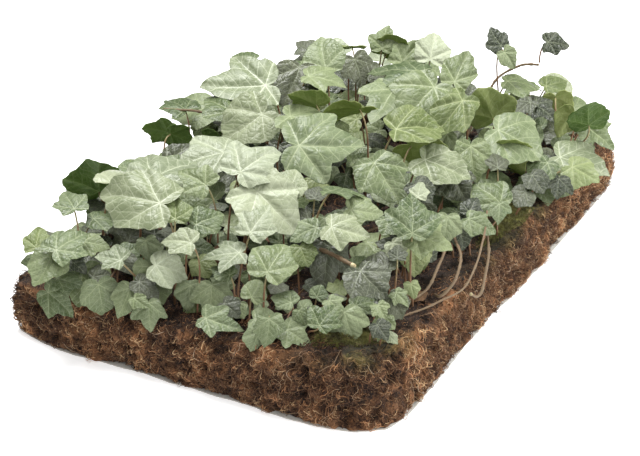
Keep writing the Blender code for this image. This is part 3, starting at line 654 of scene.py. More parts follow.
def cad_points(node):
    """The different points of a CAD node's mesh."""
    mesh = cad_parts[node].data
    points = np.empty(len(mesh.vertices) * 3)
    mesh.vertices.foreach_get("co", points)
    return np.unique(np.round(points.reshape(-1, 3), 6), axis=0)


def cad_foot(node):
    """Where a CAD leaf's petiole meets the mat: the middle of its points nearest the mat's top."""
    points = cad_points(node)
    u, v = 2 * points[:, 0] / MAT_WIDTH, 2 * points[:, 1] / MAT_LENGTH
    over = np.where((np.abs(u) < 0.95) & (np.abs(v) < 0.95), np.abs(points[:, 2] - mat_top(u, v)), 1)
    return points[np.argsort(over)[:5]].mean(axis=0) - [0, 0, 0.002]


# ---- node helpers ------------------------------------------------------------------------------
def put(tree, socket, value):
    """Links an output to the socket, or sets the socket to a plain value."""
    if isinstance(value, bpy.types.NodeSocket):
        tree.links.new(value, socket)
    elif isinstance(value, (tuple, list)) and socket.type == "RGBA":
        socket.default_value = (*value[:3], 1.0)
    else:
        socket.default_value = value


def add_node(tree, kind, settings=None, **inputs):
    """A node with its settings and inputs. An input's name has _ for a space, or is in_N by number."""
    node = tree.nodes.new(kind)
    for key, value in (settings or {}).items():
        setattr(node, key, value)
    for key, value in inputs.items():
        socket = node.inputs[int(key[3:])] if key.startswith("in_") else node.inputs[key.replace("_", " ")]
        put(tree, socket, value)
    return node


def calc(tree, operation, a, b=0.0, c=0.0, clamp=False):
    settings = {"operation": operation, "use_clamp": clamp}
    return add_node(tree, "ShaderNodeMath", settings, in_0=a, in_1=b, in_2=c).outputs[0]


def fade(tree, value, low, high, start=0.0, end=1.0):
    """Goes smoothly from start to end as the value goes from low to high."""
    node = add_node(tree, "ShaderNodeMapRange", {"interpolation_type": "SMOOTHSTEP"}, Value=value,
                    From_Min=low, From_Max=high, To_Min=start, To_Max=end)
    return node.outputs["Result"]


def blend(tree, share, one, other, how="MIX"):
    """Mixes two colours by a share."""
    node = add_node(tree, "ShaderNodeMix", {"data_type": "RGBA", "blend_type": how})
    for socket, value in ((node.inputs[0], share), (node.inputs[6], one), (node.inputs[7], other)):
        put(tree, socket, value)
    return node.outputs[2]


def noise(tree, place, scale, detail=3.0, roughness=0.55, distortion=0.0):
    """Noise from 0 to 1 round 0.5."""
    node = add_node(tree, "ShaderNodeTexNoise", Vector=place, Scale=scale, Detail=detail,
                    Roughness=roughness, Distortion=distortion)
    return node.outputs["Fac"]


def bump(tree, height, strength, distance):
    node = add_node(tree, "ShaderNodeBump", Height=height, Strength=strength, Distance=distance)
    return node.outputs["Normal"]


def new_group(name, inputs, outputs):
    """A shader node group with these sockets: returns the tree, its inputs and its output node."""
    tree = bpy.data.node_groups.new(name, "ShaderNodeTree")
    for label, kind, value in inputs:
        socket = tree.interface.new_socket(name=label, in_out="INPUT", socket_type=kind)
        if value is not None:
            socket.default_value = value
    for label, kind in outputs:
        tree.interface.new_socket(name=label, in_out="OUTPUT", socket_type=kind)
    return tree, tree.nodes.new("NodeGroupInput").outputs, tree.nodes.new("NodeGroupOutput")


def use_group(tree, group, **inputs):
    node = tree.nodes.new("ShaderNodeGroup")
    node.node_tree = group
    for key, value in inputs.items():
        put(tree, node.inputs[key.replace("_", " ")], value)
    return node.outputs


def new_material(name):
    """A material with its tree and Principled shader, and Object coordinates to paint by."""
    made = bpy.data.materials.new(name)
    made.use_nodes = True
    tree = made.node_tree
    shader = tree.nodes["Principled BSDF"]
    place = tree.nodes.new("ShaderNodeTexCoord").outputs["Object"]
    return made, tree, shader, place


# ---- shared effects ----------------------------------------------------------------------------
def ivy_veins():
    """The vein pattern of an ivy leaf, from its own map.

    The leaf is folded along its midrib. For each main vein, at 0, 54 and 112 degrees from the tip,
    on is the distance along it and off the distance from it. A main vein is where off is less than
    a width that tapers with on. Side veins leave at an angle: they are where on - 0.85 off is near
    a whole number of spaces, in the sector of the leaf that is nearest that main vein. Between them
    runs a fine net, the edges of Voronoi cells. Quilt is the tissue's rise between the veins.
    """
    tree, given, result = new_group(
        "ivy_veins",
        (("Map", "NodeSocketVector", None), ("Seed", "NodeSocketFloat", 0.0),
         ("Width", "NodeSocketFloat", 0.012)),
        (("Main", "NodeSocketFloat"), ("Side", "NodeSocketFloat"), ("Net", "NodeSocketFloat"),
         ("Halo", "NodeSocketFloat"), ("Quilt", "NodeSocketFloat")),
    )
    split = add_node(tree, "ShaderNodeSeparateXYZ", Vector=given["Map"])
    aside = calc(tree, "MULTIPLY_ADD", split.outputs[0], 1 / LEAF_MAP_SCALE, -0.5 / LEAF_MAP_SCALE)
    ahead = calc(tree, "MULTIPLY_ADD", split.outputs[1], 1 / LEAF_MAP_SCALE, -0.5 / LEAF_MAP_SCALE)
    spot = add_node(tree, "ShaderNodeCombineXYZ", X=aside, Y=ahead, Z=given["Seed"]).outputs[0]
    reach = calc(tree, "SQRT", calc(tree, "ADD", calc(tree, "MULTIPLY", aside, aside),
                                    calc(tree, "MULTIPLY", ahead, ahead)))
    wander = add_node(tree, "ShaderNodeTexNoise", Vector=spot, Scale=2.6, Detail=2.0)
    wander = add_node(tree, "ShaderNodeSeparateXYZ", Vector=wander.outputs["Color"])
    strength = calc(tree, "MULTIPLY", reach, 0.22)
    aside = calc(tree, "ADD", aside, calc(tree, "MULTIPLY", strength,
                                          calc(tree, "SUBTRACT", wander.outputs[0], 0.5)))
    ahead = calc(tree, "ADD", ahead, calc(tree, "MULTIPLY", strength,
                                          calc(tree, "SUBTRACT", wander.outputs[1], 0.5)))
    folded = calc(tree, "ABSOLUTE", aside)
    turn = calc(tree, "ARCTAN2", folded, ahead)
    main = side = halo = quilt = 0.0
    lobes = ((0, -1, 30, 1.0), (SHOULDER_TURN, 30, 84, 0.86), (BASAL_TURN, 84, 181, 0.66))
    for degrees, low, high, length in lobes:
        cos, sin = math.cos(math.radians(degrees)), math.sin(math.radians(degrees))
        on = calc(tree, "ADD", calc(tree, "MULTIPLY", ahead, cos), calc(tree, "MULTIPLY", folded, sin))
        off = calc(tree, "ABSOLUTE", calc(tree, "SUBTRACT", calc(tree, "MULTIPLY", folded, cos),
                                          calc(tree, "MULTIPLY", ahead, sin)))
        ahead_of_base = calc(tree, "GREATER_THAN", on, 0.0)
        width = calc(tree, "MULTIPLY", given["Width"],
                     calc(tree, "MAXIMUM", calc(tree, "MULTIPLY_ADD", on, -0.75 / length, 0.95), 0.22))
        line = fade(tree, calc(tree, "DIVIDE", off, width), 0.35, 1.25, 1.0, 0.0)
        main = calc(tree, "MAXIMUM", main, calc(tree, "MULTIPLY", line, ahead_of_base))
        glow = calc(tree, "MULTIPLY", fade(tree, off, 0.0, 0.11, 1.0, 0.0), ahead_of_base)
        halo = calc(tree, "MAXIMUM", halo, glow)
        inside = calc(tree, "MULTIPLY", calc(tree, "GREATER_THAN", turn, math.radians(low)),
                      calc(tree, "LESS_THAN", turn, math.radians(high)))
        branch = calc(tree, "PINGPONG", calc(tree, "MULTIPLY_ADD", off, -0.85, on), 0.10)
        pillow = calc(tree, "MINIMUM", calc(tree, "MULTIPLY", branch, 11.0),
                      calc(tree, "MULTIPLY", off, 9.0))
        quilt = calc(tree, "MAXIMUM", quilt, calc(tree, "MULTIPLY", pillow, inside))
        branch = fade(tree, branch, 0.002, 0.012, 1.0, 0.0)
        side = calc(tree, "MAXIMUM", side, calc(tree, "MULTIPLY", branch, inside))
    cells = add_node(tree, "ShaderNodeTexVoronoi", {"feature": "DISTANCE_TO_EDGE"}, Vector=spot, Scale=8.0)
    net = fade(tree, cells.outputs["Distance"], 0.0, 0.06, 1.0, 0.0)
    quilt = calc(tree, "ADD", calc(tree, "MULTIPLY", fade(tree, quilt, 0.0, 1.0), 0.55),
                 calc(tree, "MULTIPLY", fade(tree, cells.outputs["Distance"], 0.0, 0.22), 0.45))
    for label, value in (("Main", main), ("Side", side), ("Net", net), ("Halo", halo), ("Quilt", quilt)):
        put(tree, result.inputs[label], value)
    return tree


def blotches():
    """Soft uneven colour: two sizes of noise round the middle, stretched to run from 0 to 1."""
    tree, given, result = new_group(
        "blotches",
        (("Place", "NodeSocketVector", None), ("Coarse", "NodeSocketFloat", 40.0),
         ("Fine", "NodeSocketFloat", 400.0)),
        (("Soft", "NodeSocketFloat"), ("Speckle", "NodeSocketFloat")),
    )
    soft = noise(tree, given["Place"], given["Coarse"])
    speckle = noise(tree, given["Place"], given["Fine"], 2.0)
    put(tree, result.inputs["Soft"], fade(tree, soft, 0.3, 0.7))
    put(tree, result.inputs["Speckle"], fade(tree, speckle, 0.35, 0.7))
    return tree


VEINS = ivy_veins()
BLOTCHES = blotches()


# ---- leaf finishes -----------------------------------------------------------------------------
def leaf_material(name, deep, light, vein, glow, sheen, see_through):
    """A waxy ivy blade: deep to light green in soft blotches, paler along its veins.

    deep and light are the tissue's colours, vein the veins' colour, glow what shines through it
    against the light, sheen its roughness, and see_through the share of light that passes. On the upper
    sides the light colour holds part of the waxy tops' whitish sheen as painted sheen, most of all on the
    pale kind.
    """
    made, tree, shader, place = new_material(name)
    leaf_map = tree.nodes.new("ShaderNodeUVMap")
    leaf_map.uv_map = "UVMap"
    tone = add_node(tree, "ShaderNodeAttribute", {"attribute_name": "tone"}).outputs["Color"]
    tone = add_node(tree, "ShaderNodeSeparateColor", Color=tone)
    seed = calc(tree, "MULTIPLY", tone.outputs[2], 40.0)
    veins = use_group(tree, VEINS, Map=leaf_map.outputs["UV"], Seed=seed)
    patches = use_group(tree, BLOTCHES, Place=place, Coarse=55.0, Fine=900.0)
    share = calc(tree, "MULTIPLY_ADD", tone.outputs[0], 0.95, -0.20)
    share = calc(tree, "ADD", share, calc(tree, "MULTIPLY", patches["Soft"], 0.35))
    share = calc(tree, "ADD", share, calc(tree, "MULTIPLY", veins["Halo"], 0.20))
    specks = calc(tree, "MULTIPLY_ADD", patches["Speckle"], 0.24, -0.12)
    share = calc(tree, "ADD", share, specks, clamp=True)
    tissue = blend(tree, share, deep, light)
    warm = blend(tree, calc(tree, "MULTIPLY", tone.outputs[1], 0.35), tissue,
                 blend(tree, 1.0, tissue, (1.0, 0.98, 0.62), "MULTIPLY"))
    lines = calc(tree, "MAXIMUM", calc(tree, "MULTIPLY", veins["Main"], 0.80),
                 calc(tree, "MAXIMUM", calc(tree, "MULTIPLY", veins["Side"], 0.60),
                      calc(tree, "MULTIPLY", veins["Net"], 0.30)))
    colour = blend(tree, lines, warm, vein)
    relief = calc(tree, "ADD", calc(tree, "MULTIPLY", veins["Quilt"], 1.2),
                  calc(tree, "MULTIPLY", noise(tree, place, 200.0, 2.0), 0.8))
    normal = bump(tree, relief, 0.50, 0.0008)
    put(tree, shader.inputs["Base Color"], colour)
    put(tree, shader.inputs["Roughness"], fade(tree, patches["Soft"], 0.0, 1.0, sheen - 0.05, sheen + 0.08))
    put(tree, shader.inputs["Normal"], normal)
    shader.inputs["Specular IOR Level"].default_value = 0.40
    lit_through = add_node(tree, "ShaderNodeBsdfTranslucent", Color=glow)
    mixed = add_node(tree, "ShaderNodeMixShader", in_0=see_through, in_1=shader.outputs[0],
                     in_2=lit_through.outputs[0])
    put(tree, tree.nodes["Material Output"].inputs["Surface"], mixed.outputs[0])
    return made


def petiole_material():
    """A leaf stalk: red-brown at its foot, going over to pale green below the blade."""
    made, tree, shader, place = new_material("petiole")
    stalk_map = tree.nodes.new("ShaderNodeUVMap")
    stalk_map.uv_map = "UVMap"
    down = add_node(tree, "ShaderNodeSeparateXYZ", Vector=stalk_map.outputs["UV"]).outputs[1]
    patches = use_group(tree, BLOTCHES, Place=place, Coarse=120.0, Fine=1500.0)
    down = calc(tree, "ADD", down, calc(tree, "MULTIPLY_ADD", patches["Soft"], 0.3, -0.15))
    colour = blend(tree, fade(tree, down, 0.02, 0.45), (0.34, 0.31, 0.14), (0.25, 0.135, 0.065))
    colour = blend(tree, calc(tree, "MULTIPLY", patches["Speckle"], 0.35), colour, (0.12, 0.05, 0.03))
    put(tree, shader.inputs["Base Color"], colour)
    shader.inputs["Roughness"].default_value = 0.5
    put(tree, shader.inputs["Normal"], bump(tree, patches["Speckle"], 0.3, 0.0003))
    return made


def bark_material():
    """A bare woody runner: grey-brown to tan, streaked along its length, with rings and warts."""
    made, tree, shader, place = new_material("runner_bark")
    bark_map = tree.nodes.new("ShaderNodeUVMap")
    bark_map.uv_map = "UVMap"
    long_map = add_node(tree, "ShaderNodeMapping", Vector=bark_map.outputs["UV"])
    long_map.inputs["Scale"].default_value = (14.0, 7.0, 1.0)
    streak = noise(tree, long_map.outputs[0], 2.0, 4.0, 0.6)
    patches = use_group(tree, BLOTCHES, Place=place, Coarse=60.0, Fine=1100.0)
    colour = blend(tree, fade(tree, streak, 0.3, 0.7), (0.085, 0.050, 0.026), (0.26, 0.175, 0.090))
    colour = blend(tree, calc(tree, "MULTIPLY", patches["Soft"], 0.45), colour, (0.19, 0.14, 0.068))
    colour = blend(tree, calc(tree, "MULTIPLY", patches["Speckle"], 0.3), colour, (0.09, 0.05, 0.03))
    put(tree, shader.inputs["Base Color"], colour)
    shader.inputs["Roughness"].default_value = 0.62
    put(tree, shader.inputs["Normal"], bump(tree, streak, 0.5, 0.0005))
    return made


# ---- mat finishes ------------------------------------------------------------------------------
MOSS_GREEN = (0.17, 0.155, 0.038)


def fibre_material(name, dark, light, specks):
    """Matted fibre, a strand of it or soil: dark to light by the red of its tone, which holds painted shade
    (dark in the hollows, light on the clumps) and, for strands and crumbs, some random tone too, greened
    with moss by the green of its tone, with fine specks and a rough surface."""
    made, tree, shader, place = new_material(name)
    tone = add_node(tree, "ShaderNodeAttribute", {"attribute_name": "tone"}).outputs["Color"]
    tone = add_node(tree, "ShaderNodeSeparateColor", Color=tone)
    patches = use_group(tree, BLOTCHES, Place=place, Coarse=90.0, Fine=1400.0)
    grain = noise(tree, place, 420.0, 4.0, 0.7, 1.5)
    share = calc(tree, "MULTIPLY_ADD", patches["Soft"], 0.30, calc(tree, "MULTIPLY_ADD", grain, 2.0, -1.25))
    # The tone's red carries the painted shade of the hollows and of the shaded top.
    share = calc(tree, "ADD", share, tone.outputs[0], clamp=True)
    colour = blend(tree, share, dark, light)
    colour = blend(tree, fade(tree, noise(tree, place, 700.0, 2.0), 0.60, 0.72, 0.0, 0.6), colour, specks)
    green = blend(tree, share, (0.02, 0.02, 0.006), MOSS_GREEN)
    colour = blend(tree, calc(tree, "MULTIPLY", tone.outputs[1], 0.75), colour, green)
    put(tree, shader.inputs["Base Color"], colour)
    shader.inputs["Roughness"].default_value = 0.9
    put(tree, shader.inputs["Normal"], bump(tree, grain, 0.9, 0.0015))
    return made


def fleece_material():
    """A thin grey-white needle felt, stained brown from the mat."""
    made, tree, shader, place = new_material("fleece_felt")
    patches = use_group(tree, BLOTCHES, Place=place, Coarse=35.0, Fine=900.0)
    threads = noise(tree, place, 600.0, 5.0, 0.75, 2.5)
    stain = calc(tree, "MULTIPLY", patches["Soft"], 0.45)
    colour = blend(tree, stain, (0.62, 0.60, 0.55), (0.36, 0.30, 0.23))
    colour = blend(tree, calc(tree, "MULTIPLY", threads, 0.35), colour, (0.75, 0.74, 0.70))
    put(tree, shader.inputs["Base Color"], colour)
    shader.inputs["Roughness"].default_value = 0.95
    put(tree, shader.inputs["Normal"], bump(tree, threads, 0.7, 0.0006))
    return made


def moss_material():
    """Moss: olive to yellow-green tufts with brown between them."""
    made, tree, shader, place = new_material("moss_tufts")
    patches = use_group(tree, BLOTCHES, Place=place, Coarse=110.0, Fine=1600.0)
    colour = blend(tree, patches["Soft"], (0.060, 0.055, 0.016), (0.20, 0.19, 0.040))
    colour = blend(tree, calc(tree, "MULTIPLY", patches["Speckle"], 0.4), colour, (0.22, 0.22, 0.06))
    put(tree, shader.inputs["Base Color"], colour)
    shader.inputs["Roughness"].default_value = 0.9
    put(tree, shader.inputs["Normal"], bump(tree, patches["Speckle"], 0.8, 0.001))
    return made


def cut_material():
    """Wood freshly cut or broken: pale and straw-coloured, a little uneven."""
    made, tree, shader, place = new_material("cut_wood")
    shade = fade(tree, noise(tree, place, 130.0, 2.0), 0.3, 0.7)
    put(tree, shader.inputs["Base Color"], blend(tree, shade, (0.42, 0.34, 0.18), (0.62, 0.54, 0.32)))
    shader.inputs["Roughness"].default_value = 0.75
    put(tree, shader.inputs["Normal"], bump(tree, noise(tree, place, 900.0, 2.0), 0.4, 0.0004))
    return made


UPPER = {
    # Deep, light and vein colours, what shines through, roughness, and the share of light that passes.
    # The light colours here, the pale kind's most, are lighter than the bare tissue: painted sheen,
    # standing in for part of the whitish sheen the waxy tops reflect.
    "pale": leaf_material("leaf_pale", (0.200, 0.235, 0.145), (0.425, 0.465, 0.335), (0.55, 0.59, 0.42),
                          (0.32, 0.46, 0.08), 0.38, 0.10),
    "mid": leaf_material("leaf_grey_green", (0.068, 0.100, 0.040), (0.235, 0.280, 0.153),
                         (0.39, 0.44, 0.26), (0.22, 0.38, 0.05), 0.38, 0.10),
    "dark": leaf_material("leaf_dark", (0.026, 0.034, 0.020), (0.105, 0.115, 0.078), (0.27, 0.30, 0.20),
                          (0.12, 0.22, 0.03), 0.34, 0.08),
    "young": leaf_material("leaf_young", (0.11, 0.145, 0.050), (0.27, 0.315, 0.150), (0.45, 0.50, 0.26),
                           (0.36, 0.56, 0.06), 0.40, 0.16),
}
UNDER = {
    "pale": leaf_material("underside_pale", (0.20, 0.235, 0.105), (0.33, 0.37, 0.18), (0.48, 0.52, 0.29),
                          (0.30, 0.46, 0.06), 0.60, 0.22),
    "mid": leaf_material("underside_green", (0.13, 0.165, 0.060), (0.24, 0.285, 0.115), (0.38, 0.43, 0.20),
                         (0.22, 0.38, 0.04), 0.60, 0.25),
    "dark": leaf_material("underside_dark", (0.065, 0.125, 0.022), (0.14, 0.235, 0.045), (0.27, 0.37, 0.13),
                          (0.11, 0.27, 0.02), 0.60, 0.30),
    "young": leaf_material("underside_young", (0.22, 0.27, 0.095), (0.37, 0.42, 0.16), (0.50, 0.55, 0.26),
                           (0.34, 0.50, 0.05), 0.55, 0.30),
}
SLOTS = {"pale": "leaf_pale", "mid": "leaf_grey_green", "dark": "leaf_dark", "young": "leaf_young"}
PETIOLE = petiole_material()
BARK = bark_material()
COIR = fibre_material("coir_mat", (0.014, 0.006, 0.003), (0.32, 0.145, 0.060), (0.50, 0.28, 0.13))
SOIL = fibre_material("soil_crumb", (0.014, 0.008, 0.005), (0.080, 0.046, 0.026), (0.16, 0.11, 0.06))
STRANDS = {
    "coir_dark": fibre_material("fibre_dark", (0.022, 0.010, 0.005), (0.20, 0.088, 0.040),
                                (0.24, 0.13, 0.07)),
    "coir_brown": fibre_material("fibre_brown", (0.060, 0.024, 0.010), (0.68, 0.335, 0.150),
                                 (0.70, 0.42, 0.21)),
    "coir_tan": fibre_material("fibre_tan", (0.17, 0.080, 0.036), (0.92, 0.62, 0.33), (0.92, 0.70, 0.44)),
    "roots_pale": fibre_material("root_pale", (0.40, 0.26, 0.15), (0.72, 0.55, 0.38), (0.75, 0.62, 0.48)),
}


# ---- the mat and what lies on it ---------------------------------------------------------------
def build_mat():
    """The slab in one closed skin: a top grid, rows of wall below its rim, and a flat underside.

    Its tone is painted shade: dark on the top, which the leaves shade, and in the walls' hollows. The rim
    is pushed in and out by the wall's relief. The top grid follows it by the same amount times m^12, m
    being the larger of |u| and |v|, so that the grid doesn't fold at the rim.
    """
    count_u, count_v = MAT_GRID
    u, v = np.meshgrid(np.linspace(-1, 1, count_u + 1), np.linspace(-1, 1, count_v + 1))
    u, v = u.ravel(), v.ravel()
    m = np.maximum(np.maximum(np.abs(u), np.abs(v)), 1e-9)
    rim = wall_place(u / m, v / m, 1.0)
    shift = (rim - on_mat(u / m, v / m)) * (m**12)[:, None]
    grid = on_mat(u, v)
    grid[:, 2] += top_relief(grid)
    grid[:, :2] += shift[:, :2]
    number = np.arange(len(u)).reshape(count_v + 1, count_u + 1)
    top = np.stack([number[:-1, :-1], number[:-1, 1:], number[1:, 1:], number[1:, :-1]], axis=-1)
    top = top.reshape(-1, 4)
    around = np.concatenate([number[0, :-1], number[:-1, -1], number[-1, :0:-1], number[:0:-1, 0]])
    rim_u, rim_v = u[around], v[around]
    shares = np.linspace(1, 0, WALL_ROWS + 1)[1:, None]
    wall = wall_place(rim_u[None], rim_v[None], shares).reshape(-1, 3)
    rows = np.concatenate([around, len(grid) + np.arange(len(wall))]).reshape(WALL_ROWS + 1, -1)
    upper, lower = rows[:-1], rows[1:]
    sides = np.stack([lower, np.roll(lower, -1, 1), np.roll(upper, -1, 1), upper], axis=-1).reshape(-1, 4)
    foot = rows[-1]
    middle = len(grid) + len(wall)
    bottom = np.stack([np.roll(foot, -1), foot, np.full(len(foot), middle)], axis=-1)
    points = np.concatenate([grid, wall, [[0, 0, MAT_UNDERSIDE]]])
    open_top = np.concatenate([m, np.ones(len(wall) + 1)])
    # Painted shade: darker in the walls' hollows, and down to a tenth as bright over the top inside the
    # rim, which the leaves shade.
    bright = standing(points) ** 1.6 * (0.10 + 0.90 * open_top**50)
    tone = np.stack([bright, mossiness(points), 0 * bright], axis=-1)
    skin = Skin()
    skin.add(points, [top, sides, bottom], tone=tone)
    skin.piece("coir_slab", [COIR], ["root_mat"], "coir_root_mat")


def build_fleece():
    """The backing sheet: two flat outlines, a rim between them, ruffled a little where it shows."""
    u, v = rim_uv(160, 240)
    low = rim_point(u, v, 0.0, FLEECE_SHOWS + foot_spread(u, v))
    ruffle = 0.0008 * fractal(low, 0.02, 5, 3)
    way = unit(np.stack([u**9, v**9, 0 * u], axis=-1))
    low = low + way * ruffle[:, None]
    high = low + [0, 0, FLEECE_THICKNESS]
    count = len(low)
    points = np.concatenate([low, high, [[0, 0, 0], [0, 0, FLEECE_THICKNESS]]])
    j = np.arange(count)
    k = (j + 1) % count
    edge = np.stack([j, k, k + count, j + count], axis=-1)
    under = np.stack([k, j, np.full(count, 2 * count)], axis=-1)
    over = np.stack([j + count, k + count, np.full(count, 2 * count + 1)], axis=-1)
    skin = Skin()
    skin.add(points, [edge, under, over])
    sheet = skin.piece("backing_fleece_felt", [fleece_material()], ["backing_fleece"], "fleece")


def strand_radii(rng, radii, count, points):
    """Each strand's radius at its points: even along it, thinner at its two ends."""
    return rng.uniform(*radii, count)[:, None] * np.array([0.5] + [1.0] * (points - 2) + [0.4])


def strand_tone(rng, paths):
    """Each strand's brightness: painted shade, darker in a hollow than on a clump, plus its own random tone
    and noise, and the moss
    where it lies: given for every point of its three-sided tube and for the tube's two end points."""
    bright = 1.25 * standing(paths) - 0.42 + rng.normal(0, 0.28, (len(paths), 1))
    bright = bright + 0.24 * fractal(paths, 0.045, 17, 2) + 0.30 * fractal(paths, 0.005, 23, 1)
    tone = np.stack([np.clip(bright, 0, 1), mossiness(paths), 0 * bright], axis=-1)
    tone = np.repeat(tone, 3, axis=1)
    return np.concatenate([tone, tone[:, :1], tone[:, -1:]], axis=1).reshape(-1, 3)


def wall_strands(skin, rng, count, lengths, radii, lift, points):
    """Curly fibres on the mat's walls: each runs along a heading in the wall's own plane with a
    sideways wave, arches out of the wall in its middle and dives into it at both ends."""
    t = np.linspace(-0.5, 0.5, points)[None]
    run = rng.uniform(0, RIM_LENGTH, count)[:, None]
    share = rng.uniform(0.02, 1.0, count)[:, None]
    length = rng.uniform(*lengths, count)[:, None]
    heading = rng.uniform(0, math.pi, count)[:, None]
    bend = rng.normal(0, 0.9, count)[:, None]
    wave = rng.uniform(-0.16, 0.16, count)[:, None]
    phase = rng.uniform(0, math.tau, count)[:, None]
    way = heading + bend * t
    ahead, aside = t * length, length * (wave * np.sin(9 * t + phase))
    across = ahead * np.cos(way) - aside * np.sin(way)
    rise = ahead * np.sin(way) + aside * np.cos(way)
    arch = rng.uniform(*lift, count)[:, None]
    outwards = arch * (1 - (2 * t) ** 2) - 0.0012 * (2 * t) ** 2
    share = np.clip(share + rise / MAT_THICKNESS, 0.01, 1.0)
    run = run + across
    spots = wall_at(run, share, 0 * share)
    u = np.interp(np.mod(run, RIM_LENGTH), RIM_RUN, RIM_U)
    v = np.interp(np.mod(run, RIM_LENGTH), RIM_RUN, RIM_V)
    way_out = unit(np.stack([u**9, v**9, 0 * u], axis=-1))
    paths = spots + way_out * outwards[..., None]
    paths[..., 2] += 0.6 * outwards * np.clip(share * 8 - 7, 0, 1)
    paths[..., 2] = np.maximum(paths[..., 2], 0.0018)
    thick = strand_radii(rng, radii, count, points)
    skin.add(*tubes(paths, thick, 3), tone=strand_tone(rng, paths))


def top_strands(skin, rng, count, lengths, radii, points):
    """Fibres that lie over the mat's top in loose arcs, most of them near its rim."""
    t = np.linspace(-0.5, 0.5, points)[None]
    u, v = rng.uniform(-0.98, 0.98, (2, count, 1))
    near_rim = rng.random((count, 1)) < 0.6
    v = np.where(near_rim & (np.abs(u) < 0.8), np.sign(v) * rng.uniform(0.84, 0.99, (count, 1)), v)
    u = np.where(near_rim & (np.abs(u) >= 0.8), np.sign(u) * rng.uniform(0.84, 0.99, (count, 1)), u)
    length = rng.uniform(*lengths, count)[:, None]
    way = rng.uniform(0, math.tau, count)[:, None] + rng.normal(0, 1.1, count)[:, None] * t
    place_u = np.clip(u + 2 * t * length * np.cos(way) / MAT_WIDTH, -0.99, 0.99)
    place_v = np.clip(v + 2 * t * length * np.sin(way) / MAT_LENGTH, -0.99, 0.99)
    flat = on_mat(place_u, place_v)
    flat[..., 2] += top_relief(flat) + rng.uniform(0.0, 0.004, count)[:, None] * (1 - (2 * t) ** 2)
    thick = strand_radii(rng, radii, count, points)
    # The strands on the top get six tenths of the brightness: painted shade under the leaves.
    skin.add(*tubes(flat, thick, 3), tone=strand_tone(rng, flat) * [0.6, 1.0, 1.0])


def build_strands():
    """Loose fibres and roots, a piece for each colour."""
    # Piece, finish, how many on the walls and on the top, their lengths and radii, how far they arch
    # out of the wall, and the points along each.
    plans = (
        ("coir_dark", "coir_dark", 2600, 1600, (0.004, 0.011), (0.00034, 0.00062), (0.0, 0.0022), 5),
        ("coir_matted", "coir_brown", 5000, 1500, (0.003, 0.010), (0.00026, 0.00046), (0.0006, 0.0036), 5),
        ("coir_curly", "coir_brown", 2500, 700, (0.008, 0.018), (0.00026, 0.00042), (0.0010, 0.0044), 7),
        ("coir_tan", "coir_tan", 4600, 700, (0.004, 0.013), (0.00022, 0.00042), (0.0014, 0.0050), 5),
        ("coir_wisps", "coir_brown", 700, 120, (0.006, 0.015), (0.00020, 0.00032), (0.0040, 0.0085), 7),
        ("roots_pale", "roots_pale", 230, 40, (0.010, 0.032), (0.00020, 0.00034), (0.0012, 0.0034), 11),
    )
    for seed, (name, finish, on_wall, on_top, lengths, radii, lift, points) in enumerate(plans, 31):
        rng = np.random.default_rng(seed)
        skin = Skin()
        wall_strands(skin, rng, on_wall, lengths, radii, lift, points)
        top_strands(skin, rng, on_top, lengths, radii, points)
        skin.piece(name, [STRANDS[finish]], slot="coir_root_mat")


OCTAHEDRON = np.array([(1, 0, 0), (-1, 0, 0), (0, 1, 0), (0, -1, 0), (0, 0, 1), (0, 0, -1)], float)
OCTAHEDRON_FACES = np.array([(0, 2, 4), (2, 1, 4), (1, 3, 4), (3, 0, 4),
                             (2, 0, 5), (1, 2, 5), (3, 1, 5), (0, 3, 5)])


def build_crumbs(name, finish, rng, spots, sizes, dim):
    """Crumbs at these spots: small uneven eight-sided lumps, painted darker in the hollows as shade. dim is
    how bright they are on a clump.
    """
    count = len(spots)
    lumps = OCTAHEDRON[None] * rng.uniform(0.6, 1.3, (count, 6, 1)) + rng.normal(0, 0.12, (count, 6, 3))
    lumps = spots[:, None] + sizes[:, None, None] * lumps
    faces = (OCTAHEDRON_FACES[None] + 6 * np.arange(count)[:, None, None]).reshape(-1, 3)
    bright = np.clip(dim * standing(spots) ** 1.6 + rng.normal(0, 0.2, count), 0, 1)
    tone = np.stack([bright, mossiness(spots), 0 * bright], axis=-1)
    skin = Skin()
    skin.add(lumps, [faces], tone=np.repeat(tone, 6, axis=0))
    skin.piece(name, [finish], slot="coir_root_mat", smooth=False)


def build_soil_crumbs():
    """Soil crumbs on the mat's top, and coir dust and crumbs that cling to its walls."""
    rng = np.random.default_rng(5)
    spots = on_mat(*rng.uniform(-0.985, 0.985, (2, SOIL_CRUMBS)))
    spots[:, 2] += top_relief(spots) + 0.0004
    build_crumbs("soil_crumbs", SOIL, rng, spots, 0.0006 + 0.0022 * rng.random(SOIL_CRUMBS) ** 2.5, 0.5)
    run = rng.uniform(0, RIM_LENGTH, WALL_CRUMBS)
    spots = wall_at(run, rng.uniform(0.02, 1.0, WALL_CRUMBS), 0.0004)
    build_crumbs("wall_crumbs", COIR, rng, spots, 0.0006 + 0.0016 * rng.random(WALL_CRUMBS) ** 2, 0.9)


